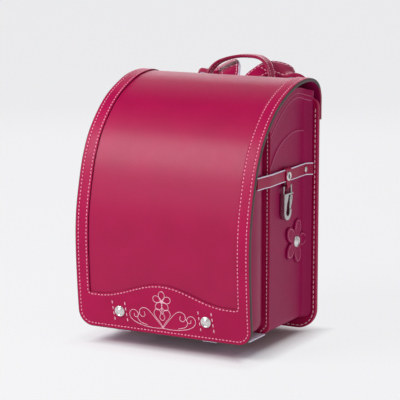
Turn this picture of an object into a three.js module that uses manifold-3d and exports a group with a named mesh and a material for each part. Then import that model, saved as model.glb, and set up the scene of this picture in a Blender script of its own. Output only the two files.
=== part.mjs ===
// A school ransel: a stiff leather satchel worn on the back, with a flap that covers its whole front.
// Millimetres. +X is to the right seen from the flap, +Y runs from the flap to the wearer's back, +Z is up.
// The pieces are laid out with Y = 0 at the flap's foremost line and Z = 0 on the floor,
// and the group is then moved so that its origin is the middle of its footprint.
import * as THREE from "three";
import { mergeVertices } from "three/addons/utils/BufferGeometryUtils.js";
import Module from "manifold-3d";

const wasm = await Module();
wasm.setup();

// Overall sizes
const floorGap = 22; // the body's underside and the flap's bottom edge stand this far above the floor
const flapHeight = 325.5; // from the flap's bottom edge to its highest line
const bagDepth = 194; // from the flap's foremost line to the back board's outer face
const bodyWidth = 236; // across the two side panels
const mainDepth = 117; // inside the main compartment, front wall to back board
const flapWidth = bodyWidth + 20;
const backWidth = bodyWidth + 30; // across the back board with its border
const upTo = (share) => floorGap + share * flapHeight; // a height as a share of the flap's height

// Walls and clearances
const gap = 0.3; // between pieces that touch
const wall = 2; // leather walls
const boardThick = 4;
const borderThick = 1.1; // the leather that wraps the back board's edge
const flapPanelThick = 3.2;
const flapBorderThick = 1.5;
const flapThick = flapPanelThick + gap + flapBorderThick;
const padThick = 11; // the padded lining on the back board, which the flap's tail is sewn over
const tailSeat = padThick + 2 * gap; // from the board's outer face to the flap's tail

// Flap
const flapBorderWidth = 19;
const flapCornerRadius = 20;
const waveHeight = 47; // window's bottom corners above the flap's bottom edge
const waveRise = 20.5; // the wave's crest above those corners
const waveHalf = flapWidth * 0.371; // half the wave's length
const flapStations = 44;

// Body
const bodyCornerRadius = 10;
const seamLip = 3; // the front wall stands out past the side panels by this much
const frontWallTop = upTo(0.822);
const backBoardTop = upTo(0.914);
const backBoardDrop = 17; // the back border hangs this far below the body
const backCornerRadius = 28;
const backTopRadius = 12;
const borderLap = 12; // the border's lap on the board's outer face
const flareReach = 8; // the side panels turn out to the back border by this much

// Pocket behind the flap
const pocketWidth = bodyWidth - 6;
const pocketBottom = floorGap + 7.5;
const pocketTop = upTo(0.733);
const pocketClear = 4; // between the flap's inside and the pocket's front
const pocketCornerRadius = 14;

// Flap rivets, closing belts and lock
const rivetSpread = flapWidth / 4; // each flap rivet from the middle
const rivetRise = 25.5; // above the flap's bottom edge
const rivetRadius = 7.5;
const beltWidth = 22;
const beltThick = 2.2;
const lockWidth = 56;
const lockLength = 50;
const lockPlateThick = 6;
const lockSetback = 40; // behind the main compartment's front wall

// Side belt, hook and flower
const sideBeltWidth = 16.5;
const sideBeltBottom = upTo(0.6);
const sideBeltStandOff = 2.2;
const tabWidth = 15;
const tabTipWidth = 9;
const tabPlace = 0.406; // the tab along the main compartment, from its front
const eyeletRadius = 6.2;
const hookWidth = 26;
const hookThick = 6;
const hookBarRadius = 1.3;
const hookAxisDrop = 6.5; // hinge line below the side belt
const hookLength = 44; // hinge line to the hook's lowest point
const flowerZ = upTo(0.338);
const flowerRadius = 31;
const flowerClear = 5.7; // from the flower to the back board
const flowerThick = 1.6;
const flowerStudRadius = 7.8;

// Handle, shoulder straps and their fittings
const handleSpan = bodyWidth * 0.415;
const handleTop = upTo(1) + 18.5;
const handleWidth = 14.5;
const handleThick = 4;
const handleReach = 10.2; // the handle's pins behind the flap's tail
const handleLean = 32; // the top of the handle behind its pins
const handlePinZ = upTo(0.902);
const pinRadius = 2.2;
const loopWall = 2;
const strapRise = upTo(1) + 2; // the straps' highest centre line
const strapReach = 52; // how far the straps stand behind the flap's tail
const strapSpread = bodyWidth * 0.33; // widest centre line from the middle
const strapThick = 9;
const strapWidth = 44;
const lowerStrapWidth = 24;
const lowerStrapThick = 2.6;
const ringWidth = 32;
const ringHeight = 17;
const ringWire = 1.8;
const padWidth = bodyWidth;
const padBottom = floorGap + 39.5;
const padTop = upTo(0.871);

// Places worked out from the sizes above
const bodyHalf = bodyWidth / 2;
const flapHalf = flapWidth / 2;
const backHalf = backWidth / 2;
const bodyBottom = floorGap;
const boardBack = bagDepth;
const boardFront = boardBack - boardThick;
const mainFront = boardFront - mainDepth;
const tabY = mainFront + tabPlace * mainDepth;
const flowerY = boardFront - flowerClear - flowerRadius;
const tailBack = boardBack + tailSeat + flapThick; // outer face of the flap's tail
const fittingY = tailBack - flapBorderThick + 0.1; // the metal fittings stand on the flap's panel

const leather = new THREE.MeshStandardMaterial({ color: 0xa8134f, roughness: 0.35, metalness: 0 });
const darkLeather = new THREE.MeshStandardMaterial({ color: 0x8a1c48, roughness: 0.4, metalness: 0 });
const lining = new THREE.MeshStandardMaterial({ color: 0xd9cbe0, roughness: 0.7, metalness: 0 });
const metal = new THREE.MeshStandardMaterial({ color: 0xc8c8cc, roughness: 0.3, metalness: 0.9 });

const bag = new THREE.Group();

function add(name, geometry, material) {
  const mesh = new THREE.Mesh(geometry, material);
  mesh.name = name;
  bag.add(mesh);
  return mesh;
}

// A closed geometry as a solid for cutting and joining.
function solid(geometry) {
  const bare = (geometry.index ? geometry.toNonIndexed() : geometry).clone();
  for (const name of Object.keys(bare.attributes)) if (name !== "position") bare.deleteAttribute(name);
  const merged = mergeVertices(bare, 1e-3);
  return new wasm.Manifold(
    new wasm.Mesh({
      numProp: 3,
      vertProperties: new Float32Array(merged.attributes.position.array),
      triVerts: new Uint32Array(merged.index.array),
    }),
  );
}

function geometryOf(made) {
  const mesh = made.getMesh();
  return new THREE.BufferGeometry()
    .setAttribute("position", new THREE.BufferAttribute(new Float32Array(mesh.vertProperties), 3))
    .setIndex(new THREE.BufferAttribute(new Uint32Array(mesh.triVerts), 1));
}

const cut = (body, ...tools) =>
  geometryOf(tools.reduce((kept, tool) => kept.subtract(solid(tool)), solid(body)));
const join = (...bodies) => geometryOf(bodies.map(solid).reduce((a, b) => a.add(b)));

// Extrusions of a flat outline along each axis. The outline's two numbers are the other two axes, in order.
function alongX(shape, x0, x1, curveSegments = 12) {
  const made = new THREE.ExtrudeGeometry(shape, { depth: x1 - x0, bevelEnabled: false, curveSegments });
  made.applyMatrix4(
    new THREE.Matrix4().makeBasis(
      new THREE.Vector3(0, 1, 0),
      new THREE.Vector3(0, 0, 1),
      new THREE.Vector3(1, 0, 0),
    ),
  );
  return made.translate(x0, 0, 0);
}

function alongY(shape, y0, y1, curveSegments = 12) {
  const made = new THREE.ExtrudeGeometry(shape, { depth: y1 - y0, bevelEnabled: false, curveSegments });
  return made.rotateX(Math.PI / 2).translate(0, y1, 0);
}

function alongZ(shape, z0, z1, curveSegments = 12) {
  const made = new THREE.ExtrudeGeometry(shape, { depth: z1 - z0, bevelEnabled: false, curveSegments });
  return made.translate(0, 0, z0);
}

const outline = (points) => new THREE.Shape(points.map(([a, b]) => new THREE.Vector2(a, b)));

// A rectangle with its own radius at the bottom and top corners.
function roundedRect(left, right, bottom, top, bottomRadius, topRadius = bottomRadius) {
  const shape = new THREE.Shape();
  shape.moveTo(left, bottom + bottomRadius);
  shape.absarc(left + bottomRadius, bottom + bottomRadius, bottomRadius, Math.PI, 1.5 * Math.PI);
  shape.absarc(right - bottomRadius, bottom + bottomRadius, bottomRadius, -0.5 * Math.PI, 0);
  shape.absarc(right - topRadius, top - topRadius, topRadius, 0, 0.5 * Math.PI);
  shape.absarc(left + topRadius, top - topRadius, topRadius, 0.5 * Math.PI, Math.PI);
  return shape;
}

// A round bar along an axis, from one end to the other.
function bar(axis, a, b, radius, at, sides = 16) {
  const made = new THREE.CylinderGeometry(radius, radius, b - a, sides);
  if (axis === "x") made.rotateZ(-Math.PI / 2);
  if (axis === "z") made.rotateX(Math.PI / 2);
  const middle = (a + b) / 2;
  const place = { x: [middle, ...at], y: [at[0], middle, at[1]], z: [...at, middle] }[axis];
  return made.translate(...place);
}

function box(x0, x1, y0, y1, z0, z1) {
  const made = new THREE.BoxGeometry(x1 - x0, y1 - y0, z1 - z0);
  return made.translate((x0 + x1) / 2, (y0 + y1) / 2, (z0 + z1) / 2);
}

// A closed surface through loops that all have the same number of points, with flat ends.
function loft(loops) {
  const count = loops[0].length;
  const index = [];
  for (let i = 0; i + 1 < loops.length; i++)
    for (let j = 0; j < count; j++) {
      const [a, b] = [i * count + j, i * count + ((j + 1) % count)];
      index.push(a, b, b + count, a, b + count, a + count);
    }
  for (const end of [0, loops.length - 1]) {
    const loop = loops[end];
    const normal = new THREE.Vector3();
    loop.forEach((p, j) => normal.add(p.clone().cross(loop[(j + 1) % count])));
    const across = loop[1].clone().sub(loop[0]).normalize();
    const up = normal.normalize().clone().cross(across);
    const flat = loop.map((p) => new THREE.Vector2(p.dot(across), p.dot(up)));
    for (const [a, b, c] of THREE.ShapeUtils.triangulateShape(flat, [])) {
      const triangle = [a, b, c].map((k) => end * count + k);
      index.push(...(end === 0 ? triangle.reverse() : triangle));
    }
  }
  const points = loops.flat();
  let volume = 0;
  for (let i = 0; i < index.length; i += 3) {
    const [a, b, c] = [points[index[i]], points[index[i + 1]], points[index[i + 2]]];
    volume += a.dot(b.clone().cross(c));
  }
  if (volume < 0) index.reverse();
  return new THREE.BufferGeometry()
    .setAttribute("position", new THREE.Float32BufferAttribute(points.flatMap((p) => [p.x, p.y, p.z]), 3))
    .setIndex(index);
}

// The flap seen from the side: its outer face from the bottom edge up the front, over the top and down
// the back. depth is a share of the reach from the foremost line to the tail, height of the flap's height.
const flapSideTable = [
  { depth: 0.04, height: 0 },
  { depth: 0.018, height: 0.126 },
  { depth: 0, height: 0.321 },
  { depth: 0.007, height: 0.459 },
  { depth: 0.043, height: 0.579 },
  { depth: 0.1, height: 0.699 },
  { depth: 0.195, height: 0.806 },
  { depth: 0.366, height: 0.911 },
  { depth: 0.58, height: 0.978 },
  { depth: 0.747, height: 1 },
  { depth: 0.872, height: 0.996 },
  { depth: 0.958, height: 0.97 },
  { depth: 0.996, height: 0.925 },
  { depth: 1, height: 0.87 },
  { depth: 1, height: 0.82 },
];
const flapSide = new THREE.SplineCurve(
  flapSideTable.map(
    ({ depth, height }) => new THREE.Vector2(depth * tailBack, floorGap + height * flapHeight),
  ),
);
const flapLength = flapSide.getLength();

// A point of the flap's section: how far along it, and how far inside its outer face.
function flapPoint(share, inset) {
  const at = flapSide.getPointAt(share);
  const along = flapSide.getTangentAt(share);
  return new THREE.Vector2(at.x + along.y * inset, at.y - along.x * inset);
}

// The share of the flap's length at which its front passes a height.
function flapShareAt(z) {
  let [low, high] = [0, 0.7];
  for (let i = 0; i < 30; i++) {
    const middle = (low + high) / 2;
    if (flapSide.getPointAt(middle).y < z) low = middle;
    else high = middle;
  }
  return low;
}

// The flap's half width along its length: full, with rounded corners at the bottom edge.
function flapHalfAt(distance) {
  const into = Math.max(0, flapCornerRadius - distance);
  return flapHalf - flapCornerRadius + Math.sqrt(flapCornerRadius ** 2 - into ** 2);
}

// A sheet that follows the flap between two insets.
function flapSheet(outer, inner, half, from = 0, to = 1, stations = flapStations, corner = 7) {
  const shares = [];
  if (from === 0)
    for (let i = 0; i < corner; i++) {
      const turned = 1 - Math.cos(((i / corner) * Math.PI) / 2);
      shares.push((flapCornerRadius * turned) / flapLength);
    }
  const start = from === 0 ? flapCornerRadius / flapLength : from;
  for (let i = 0; i <= stations; i++) shares.push(start + ((to - start) * i) / stations);
  return loft(
    shares.map((share) => {
      const [a, b] = [flapPoint(share, outer), flapPoint(share, inner)];
      const w = half(share * flapLength);
      return [
        new THREE.Vector3(-w, a.x, a.y),
        new THREE.Vector3(w, a.x, a.y),
        new THREE.Vector3(w, b.x, b.y),
        new THREE.Vector3(-w, b.x, b.y),
      ];
    }),
  );
}

// The flap's smooth panel and, on it, the border with a window whose bottom edge is a wave.
function makeFlap() {
  add("flap_panel", flapSheet(flapBorderThick + gap, flapThick, flapHalfAt), leather);
  const windowHalf = flapHalf - flapBorderWidth;
  const top = floorGap + flapHeight * 1.2;
  const wave = [];
  const steps = 24;
  for (let i = 0; i <= steps; i++) {
    const x = windowHalf - (2 * windowHalf * i) / steps;
    const share = Math.max(-1, Math.min(1, x / waveHalf));
    wave.push([x, floorGap + waveHeight + (waveRise * (1 + Math.cos(Math.PI * share))) / 2]);
  }
  const window = alongY(outline([[-windowHalf, top], [windowHalf, top], ...wave].reverse()), -60, tailBack + 60);
  add("flap_border", cut(flapSheet(0, flapBorderThick, flapHalfAt), window), leather);
}

// The body's outline seen from the front, as an open U of points from the left top round to the right top.
function uPoints(half, bottom, top, radius, steps = 5) {
  const points = [[-half, top]];
  for (const [cx, from] of [
    [-half + radius, Math.PI],
    [half - radius, 1.5 * Math.PI],
  ])
    for (let i = 0; i <= steps; i++) {
      const angle = from + ((i / steps) * Math.PI) / 2;
      points.push([cx + radius * Math.cos(angle), bottom + radius + radius * Math.sin(angle)]);
    }
  points.push([half, top]);
  return points;
}

// One closed loop of a U-shaped wall at a given Y.
function uLoop(y, half, bottom, top, radius, thick, innerHalf = half - thick) {
  const outer = uPoints(half, bottom, top, radius);
  const inner = uPoints(innerHalf, bottom + thick, top, radius - thick).reverse();
  return [...outer, ...inner].map(([x, z]) => new THREE.Vector3(x, y, z));
}

// Where the side panels turn out to meet the back border. back is the distance in front of the board
// as a share of the main depth, out and in the turns of the wall's two faces as shares of flareReach.
const flareTable = [
  { back: 1, out: 0, in: 0 },
  { back: 0.045, out: 0, in: 0 },
  { back: 0.03, out: 0.3, in: 0.02 },
  { back: 0.022, out: 1, in: 0.1 },
  { back: 0, out: 1, in: 0.4 },
];
const flareX = (out) => bodyHalf + out * flareReach;
const flareY = (back) => boardFront - gap - back * (mainDepth - 2 * gap);

// The side panels' top edge, which rises under the flap. depth is a share of the main compartment's
// depth from its front, height a share of the flap's height above its bottom edge.
const sideTopTable = [
  { depth: 0, height: 0.822 },
  { depth: 0.2, height: 0.885 },
  { depth: 0.45, height: 0.94 },
  { depth: 0.68, height: 0.963 },
  { depth: 0.85, height: 0.958 },
  { depth: 1, height: 0.942 },
];

function makeMainBody() {
  const tall = floorGap + flapHeight;
  const shell = loft(
    flareTable.map((row) => {
      const inside = flareX(row.in) - wall;
      return uLoop(flareY(row.back), flareX(row.out), bodyBottom, tall, bodyCornerRadius, wall, inside);
    }),
  );
  const top = new THREE.SplineCurve(
    sideTopTable.map(
      ({ depth, height }) =>
        new THREE.Vector2(mainFront + depth * mainDepth, floorGap + height * flapHeight),
    ),
  ).getPoints(16);
  const above = outline([
    [mainFront - 30, top[0].y],
    ...top.map((p) => [p.x, p.y]),
    [boardBack + 30, top[top.length - 1].y],
    [boardBack + 30, tall + 30],
    [mainFront - 30, tall + 30],
  ]);
  add("main_gusset", cut(shell, alongX(above, -backHalf, backHalf)), darkLeather);

  const edge = bodyHalf + seamLip;
  const front = roundedRect(-edge, edge, bodyBottom, frontWallTop, bodyCornerRadius + seamLip, 4);
  add("front_wall", alongY(front, mainFront - wall, mainFront, 5), darkLeather);

  const lip = outline([
    [-bodyHalf + bodyCornerRadius, flapThick + 14],
    [bodyHalf - bodyCornerRadius, flapThick + 14],
    [bodyHalf - wall, flapThick + 14 + bodyCornerRadius],
    [bodyHalf - wall, mainFront - wall - gap],
    [-bodyHalf + wall, mainFront - wall - gap],
    [-bodyHalf + wall, flapThick + 14 + bodyCornerRadius],
  ]);
  add("base_lip", alongZ(lip, bodyBottom, bodyBottom + wall), lining);
}

// The pocket between the main compartment and the flap: a gusset whose sides bulge, and a front that
// follows the flap. depth runs from the pocket's front to the main compartment, bulge is a share of wall.
const pocketSideTable = [
  { depth: 0, bulge: -1 },
  { depth: 0.2, bulge: 0.4 },
  { depth: 0.4, bulge: 1.3 },
  { depth: 0.6, bulge: 1.5 },
  { depth: 0.78, bulge: 0.7 },
  { depth: 0.9, bulge: -0.8 },
  { depth: 1, bulge: -2.4 },
];

function makePocket() {
  const frontInset = flapThick + pocketClear;
  const backY = mainFront - wall - gap;
  const half = pocketWidth / 2;
  const shell = loft(
    pocketSideTable.map(({ depth, bulge }) =>
      uLoop(
        frontInset + depth * (backY - frontInset),
        half + bulge * wall,
        pocketBottom,
        pocketTop,
        pocketCornerRadius,
        wall,
      ),
    ),
  );
  const hidden = [];
  for (let i = 0; i <= 16; i++) {
    const share = flapShareAt(floorGap + (pocketTop - floorGap) * (i / 16)) + 0.01 * (i / 16);
    const p = flapPoint(share, frontInset + wall + gap);
    hidden.push([p.x, p.y]);
  }
  const last = hidden[hidden.length - 1];
  const before = outline([[-50, 0], [hidden[0][0], 0], ...hidden, [last[0] + 20, pocketTop + 30], [-50, pocketTop + 30]]);
  add("pocket_gusset", cut(shell, alongX(before, -half - 20, half + 20)), darkLeather);

  const low = flapShareAt(pocketBottom + 1);
  const high = flapShareAt(pocketTop - 12);
  const front = flapSheet(frontInset, frontInset + wall, () => half - wall, low, high, 14);
  add("pocket_front", front, darkLeather);
}

// The stiff back board, its wrapped border and the pad on its outer face.
function makeBack() {
  const bottom = bodyBottom - backBoardDrop;
  const grown = (by) =>
    roundedRect(
      -backHalf + by,
      backHalf - by,
      bottom + by,
      backBoardTop - by,
      backCornerRadius - by,
      backTopRadius - by,
    );
  const edge = borderThick + gap;
  add("back_board", alongY(grown(edge), boardFront, boardBack, 8), leather);

  const inner = roundedRect(
    -flareX(1) - gap,
    flareX(1) + gap,
    bodyBottom - gap,
    backBoardTop + 60,
    bodyCornerRadius,
    4,
  );
  const outer = alongY(grown(0), boardFront - edge, boardBack + edge, 8);
  const border = cut(
    outer,
    alongY(grown(borderThick), boardFront - gap, boardBack + gap, 8),
    alongY(inner, boardFront - 20, boardFront, 6),
    alongY(grown(borderLap), boardBack, boardBack + 20, 8),
  );
  add("back_border", border, leather);

  const padHalf = padWidth / 2;
  const pad = roundedRect(-padHalf, padHalf, padBottom, padTop, 24);
  const soft = new THREE.ExtrudeGeometry(pad, {
    depth: padThick - 6,
    bevelEnabled: true,
    bevelThickness: 3,
    bevelSize: 4,
    bevelOffset: -4,
    bevelSegments: 2,
    curveSegments: 5,
  });
  soft.rotateX(Math.PI / 2).translate(0, boardBack + gap + padThick - 3, 0);
  add("back_pad", soft, lining);
}

// A round cap that stands on a face, with its axis along +Y.
function dome(radius, height, steps = 4, sides = 20) {
  const profile = [new THREE.Vector2(0, 0), new THREE.Vector2(radius, 0)];
  for (let i = 0; i <= steps; i++) {
    const angle = ((i / steps) * Math.PI) / 2;
    profile.push(new THREE.Vector2(radius * Math.cos(angle), height * (0.35 + 0.65 * Math.sin(angle))));
  }
  return new THREE.LatheGeometry(profile, sides);
}

// Turns a piece whose axis is +Y to a direction and moves its foot to a point.
function stand(geometry, towards, at) {
  const turn = new THREE.Quaternion().setFromUnitVectors(new THREE.Vector3(0, 1, 0), towards);
  return geometry.applyQuaternion(turn).translate(at.x, at.y, at.z);
}

function makeFlapRivets() {
  const share = flapShareAt(floorGap + rivetRise);
  const seat = flapPoint(share, -gap);
  const along = flapSide.getTangentAt(share);
  const out = new THREE.Vector3(0, -along.y, along.x);
  for (const [side, sign] of [
    ["left", -1],
    ["right", 1],
  ]) {
    const at = new THREE.Vector3(sign * rivetSpread, seat.x, seat.y);
    add("flap_rivet_" + side, stand(dome(rivetRadius, 2.6), out, at), metal);
  }
}

// The two belts that close the flap. Each hangs from the flap's inside at its rivet, sags under the
// body and turns in to the lock plate. y and in are shares of the ways to the plate, z of floorGap.
const closingBeltTable = [
  { y: 0.02, z: 0.9, in: 0 },
  { y: 0.08, z: 0.885, in: 0 },
  { y: 0.15, z: 0.84, in: 0.01 },
  { y: 0.35, z: 0.67, in: 0.04 },
  { y: 0.48, z: 0.5, in: 0.08 },
  { y: 0.6, z: 0.27, in: 0.13 },
  { y: 0.7, z: 0.105, in: 0.2 },
  { y: 0.79, z: 0.075, in: 0.32 },
  { y: 0.89, z: 0.11, in: 0.58 },
  { y: 1, z: 0.19, in: 0.92 },
];

// A flat band through stations that give its centre, its width direction, its width and its thickness.
function band(stations) {
  const corners = [
    [-0.5, -0.5],
    [0.5, -0.5],
    [0.5, 0.5],
    [-0.5, 0.5],
  ];
  return loft(
    stations.map(({ at, across, width, thick }, i) => {
      const before = stations[Math.max(0, i - 1)].at;
      const after = stations[Math.min(stations.length - 1, i + 1)].at;
      const along = after.clone().sub(before).normalize();
      const side = across.clone().sub(along.clone().multiplyScalar(across.dot(along))).normalize();
      const out = side.clone().cross(along);
      return corners.map(([a, b]) =>
        at
          .clone()
          .addScaledVector(side, a * width)
          .addScaledVector(out, b * thick),
      );
    }),
  );
}

function makeClosing() {
  const lockFront = mainFront + lockSetback;
  const halfLock = lockWidth / 2;
  const plate = roundedRect(-halfLock, halfLock, lockFront, lockFront + lockLength, 7);
  const knob = roundedRect(-halfLock * 0.6, halfLock * 0.6, lockFront + 7, lockFront + lockLength - 7, 6);
  const lock = join(
    alongZ(plate, 0, lockPlateThick, 4),
    alongZ(knob, lockPlateThick - 1, bodyBottom - gap, 4),
  );
  add("lock", lock, metal);

  const startY = flapPoint(0.002, flapThick).x;
  const inset = flapThick + gap + beltThick / 2;
  const endX = halfLock - beltWidth * 0.55;
  for (const [side, sign] of [
    ["left", -1],
    ["right", 1],
  ]) {
    const across = new THREE.Vector3(1, 0, 0);
    const stations = [0.115, 0.07, 0.03, 0.0].map((share) => {
      const p = flapPoint(share, inset);
      return { at: new THREE.Vector3(sign * rivetSpread, p.x, p.y) };
    });
    const reach = lockFront - gap - startY;
    for (const row of closingBeltTable)
      stations.push({
        at: new THREE.Vector3(
          sign * (rivetSpread + row.in * (endX - rivetSpread)),
          startY + gap + beltThick / 2 + row.y * (reach - gap - beltThick / 2),
          row.z * floorGap,
        ),
      });
    for (const s of stations) Object.assign(s, { across, width: beltWidth, thick: beltThick });
    const past = box(-flapHalf, flapHalf, lockFront - gap, lockFront + 60, -20, lockPlateThick + 20);
    add("closing_belt_" + side, cut(band(stations), past), leather);
  }
}

// The belt along each side, its rivet, the tab that hangs from it, the eyelet, hook and flower.
// y is a share of the way from the pocket to the back border, out is how far the belt's inner face
// stands off the side panel, as a share of sideBeltStandOff.
const sideBeltTable = [
  { y: 0, out: 0.6 },
  { y: 0.12, out: 1.1 },
  { y: 0.21, out: 1.6 },
  { y: 0.28, out: 1.6 },
  { y: 0.42, out: 1.12 },
  { y: 0.7, out: 1.1 },
  { y: 0.82, out: 0.65 },
  { y: 0.9, out: 0.6 },
  { y: 0.972, out: 0.6 },
  { y: 0.985, out: 2.2 },
  { y: 1, out: 3.9 },
];
const sideBeltFrom = mainFront - 37;

function makeSideBelt(side, sign) {
  const to = boardFront - borderThick - 2 * gap - 1.8;
  const inner = sideBeltTable.map(({ y, out }) => [
    bodyHalf + out * sideBeltStandOff,
    sideBeltFrom + y * (to - sideBeltFrom),
  ]);
  const outer = inner.map(([x, y], i) => {
    const [ax, ay] = inner[Math.max(0, i - 1)];
    const [bx, by] = inner[Math.min(inner.length - 1, i + 1)];
    const length = Math.hypot(bx - ax, by - ay);
    return [x + (wall * (by - ay)) / length, y - (wall * (bx - ax)) / length];
  });
  const shape = outline([...inner, ...outer.reverse()].map(([x, y]) => [sign * x, y]));
  add("side_belt_" + side, alongZ(shape, sideBeltBottom, sideBeltBottom + sideBeltWidth), leather);

  const rivetY = to - 9.5;
  const face = bodyHalf + 0.6 * sideBeltStandOff + wall + 2 * gap;
  const at = new THREE.Vector3(sign * face, rivetY, sideBeltBottom + sideBeltWidth / 2);
  const rivet = stand(dome(4, 1.6, 3, 14), new THREE.Vector3(sign, 0, 0), at);
  add("side_belt_rivet_" + side, rivet, metal);
}

const beltFace = bodyHalf + 1.1 * sideBeltStandOff; // the side belt's inner face at the tab
const hookX = beltFace + wall / 2;
const hookZ = sideBeltBottom - hookAxisDrop;

function makeTab(side, sign) {
  const leatherThick = 1.5;
  const hole = hookBarRadius + 0.35;
  const round = hole + leatherThick;
  const [left, right] = [beltFace - gap - leatherThick, beltFace + wall + gap + leatherThick];
  const top = sideBeltBottom + sideBeltWidth + gap + leatherThick;
  const shape = new THREE.Shape();
  shape.moveTo(right, top);
  shape.lineTo(left, top);
  shape.lineTo(left, hookZ + round);
  shape.lineTo(hookX - round, hookZ);
  shape.absarc(hookX, hookZ, round, Math.PI, 2 * Math.PI);
  shape.lineTo(right, hookZ + round);
  const window = new THREE.Path();
  window.moveTo(left + leatherThick, sideBeltBottom - gap);
  window.lineTo(right - leatherThick, sideBeltBottom - gap);
  window.lineTo(right - leatherThick, top - leatherThick);
  window.lineTo(left + leatherThick, top - leatherThick);
  const eye = new THREE.Path().absarc(hookX, hookZ, hole, 0, 2 * Math.PI);
  shape.holes.push(window, eye);
  const loop = alongY(shape, tabY - tabWidth / 2, tabY + tabWidth / 2, 8);
  const half = tabWidth / 2;
  const tip = tabTipWidth / 2;
  const kept = outline([
    [tabY - tip, hookZ - round - 1],
    [tabY + tip, hookZ - round - 1],
    [tabY + tip, hookZ + round],
    [tabY + half, sideBeltBottom + 2],
    [tabY + half, top + 1],
    [tabY - half, top + 1],
    [tabY - half, sideBeltBottom + 2],
    [tabY - tip, hookZ + round],
  ]);
  const tapered = geometryOf(solid(loop).intersect(solid(alongX(kept, left - 2, right + 2))));
  if (sign < 0) mirrorX(tapered);
  add("hook_tab_" + side, tapered, leather);

  const ring = [
    [eyeletRadius * 0.5, 0],
    [eyeletRadius, 0],
    [eyeletRadius * 0.93, 0.9],
    [eyeletRadius * 0.75, 1.3],
    [eyeletRadius * 0.57, 0.9],
    [eyeletRadius * 0.5, 0],
  ].map(([r, h]) => new THREE.Vector2(r, h));
  const at = new THREE.Vector3(sign * (right + gap), tabY, sideBeltBottom + sideBeltWidth * 0.44);
  const eyelet = stand(new THREE.LatheGeometry(ring, 20), new THREE.Vector3(sign, 0, 0), at);
  add("eyelet_" + side, eyelet, metal);
}

// Turns a geometry into its mirror image across X = 0, with its faces still pointing out.
function mirrorX(geometry) {
  geometry.scale(-1, 1, 1);
  const index = geometry.index.array;
  for (let i = 0; i < index.length; i += 3) [index[i], index[i + 1]] = [index[i + 1], index[i]];
}

// The snap hook hangs from the tab on its top bar. Seen from the side its spine runs down the front
// edge to a round nose, and a sprung gate closes its mouth at the rear edge.
const spineWidth = 8;
const noseRadius = 10.5;
const noseInner = 5.2;
const headDrop = 9; // from the hinge line to the head's top
const headHeight = 8;
const gatePinRadius = 1.3;
const gatePinDrop = 15.5;

function makeHook(side, sign) {
  const half = hookWidth / 2;
  const noseY = -half + noseRadius;
  const noseZ = -hookLength + noseRadius;
  const tipTop = noseZ + 3.2;
  const at = (points) => outline(points.map(([y, z]) => [tabY + y, hookZ + z]));
  const thick = (share) => [hookX - (share * hookThick) / 2, hookX + (share * hookThick) / 2];

  const plate = new THREE.Shape();
  plate.moveTo(tabY - half, hookZ - headDrop);
  plate.lineTo(tabY - half, hookZ + noseZ);
  plate.absarc(tabY + noseY, hookZ + noseZ, noseRadius, Math.PI, 2 * Math.PI);
  plate.lineTo(tabY + noseY + noseRadius, hookZ + tipTop);
  plate.lineTo(tabY + noseY + noseInner, hookZ + tipTop);
  plate.lineTo(tabY + noseY + noseInner, hookZ + noseZ);
  plate.absarc(tabY + noseY, hookZ + noseZ, noseInner, 2 * Math.PI, Math.PI, true);
  plate.lineTo(tabY - half + spineWidth, hookZ - headDrop - headHeight - 5);
  plate.lineTo(tabY - half + spineWidth + 3, hookZ - headDrop - headHeight);
  plate.lineTo(tabY - 0.5, hookZ - headDrop - 2);
  plate.lineTo(tabY + half, hookZ - headDrop - 2);
  plate.lineTo(tabY + half, hookZ - headDrop);
  const [x0, x1] = thick(1);
  const body = alongX(plate, x0, x1, 10);

  const arm = (y0, y1) =>
    alongX(
      at([
        [y0, -headDrop - 1],
        [y1, -headDrop - 1],
        [y1, hookBarRadius],
        [y0, hookBarRadius],
      ]),
      ...thick(0.42),
    );
  const eyeHalf = half - 3.2;
  const top = bar("y", tabY - eyeHalf, tabY + eyeHalf, hookBarRadius, [hookX, hookZ], 12);
  const gateY = half - 4.6;
  const lug = alongX(
    at([
      [gateY - 3, -headDrop - 1],
      [half, -headDrop - 1],
      [half, -gatePinDrop - 2],
      [gateY - 1, -gatePinDrop - 2.6],
    ]),
    x0,
    x0 + 1.2,
  );
  const pin = bar("x", x0 + 0.4, x1, gatePinRadius, [tabY + gateY, hookZ - gatePinDrop], 12);
  const made = join(body, arm(-eyeHalf - 2.6, -eyeHalf + 0.4), arm(eyeHalf - 0.4, eyeHalf + 2.6), top, lug, pin);
  if (sign < 0) mirrorX(made);
  add("hook_body_" + side, made, metal);

  const boss = 4;
  const gate = new THREE.Shape();
  gate.absarc(tabY + gateY, hookZ - gatePinDrop, boss, 1.1 * Math.PI, -0.1 * Math.PI, true);
  gate.lineTo(tabY + noseY + noseRadius, hookZ + tipTop + gap + 0.2);
  gate.lineTo(tabY + noseY + noseInner + 0.6, hookZ + tipTop + gap + 0.2);
  const bore = bar("x", x0 - 2, x1 + 2, gatePinRadius + gap, [tabY + gateY, hookZ - gatePinDrop], 12);
  const lever = cut(alongX(gate, x0 + 1.2 + gap, x1 - 0.4, 10), bore);
  if (sign < 0) mirrorX(lever);
  add("hook_gate_" + side, lever, metal);
}

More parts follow.
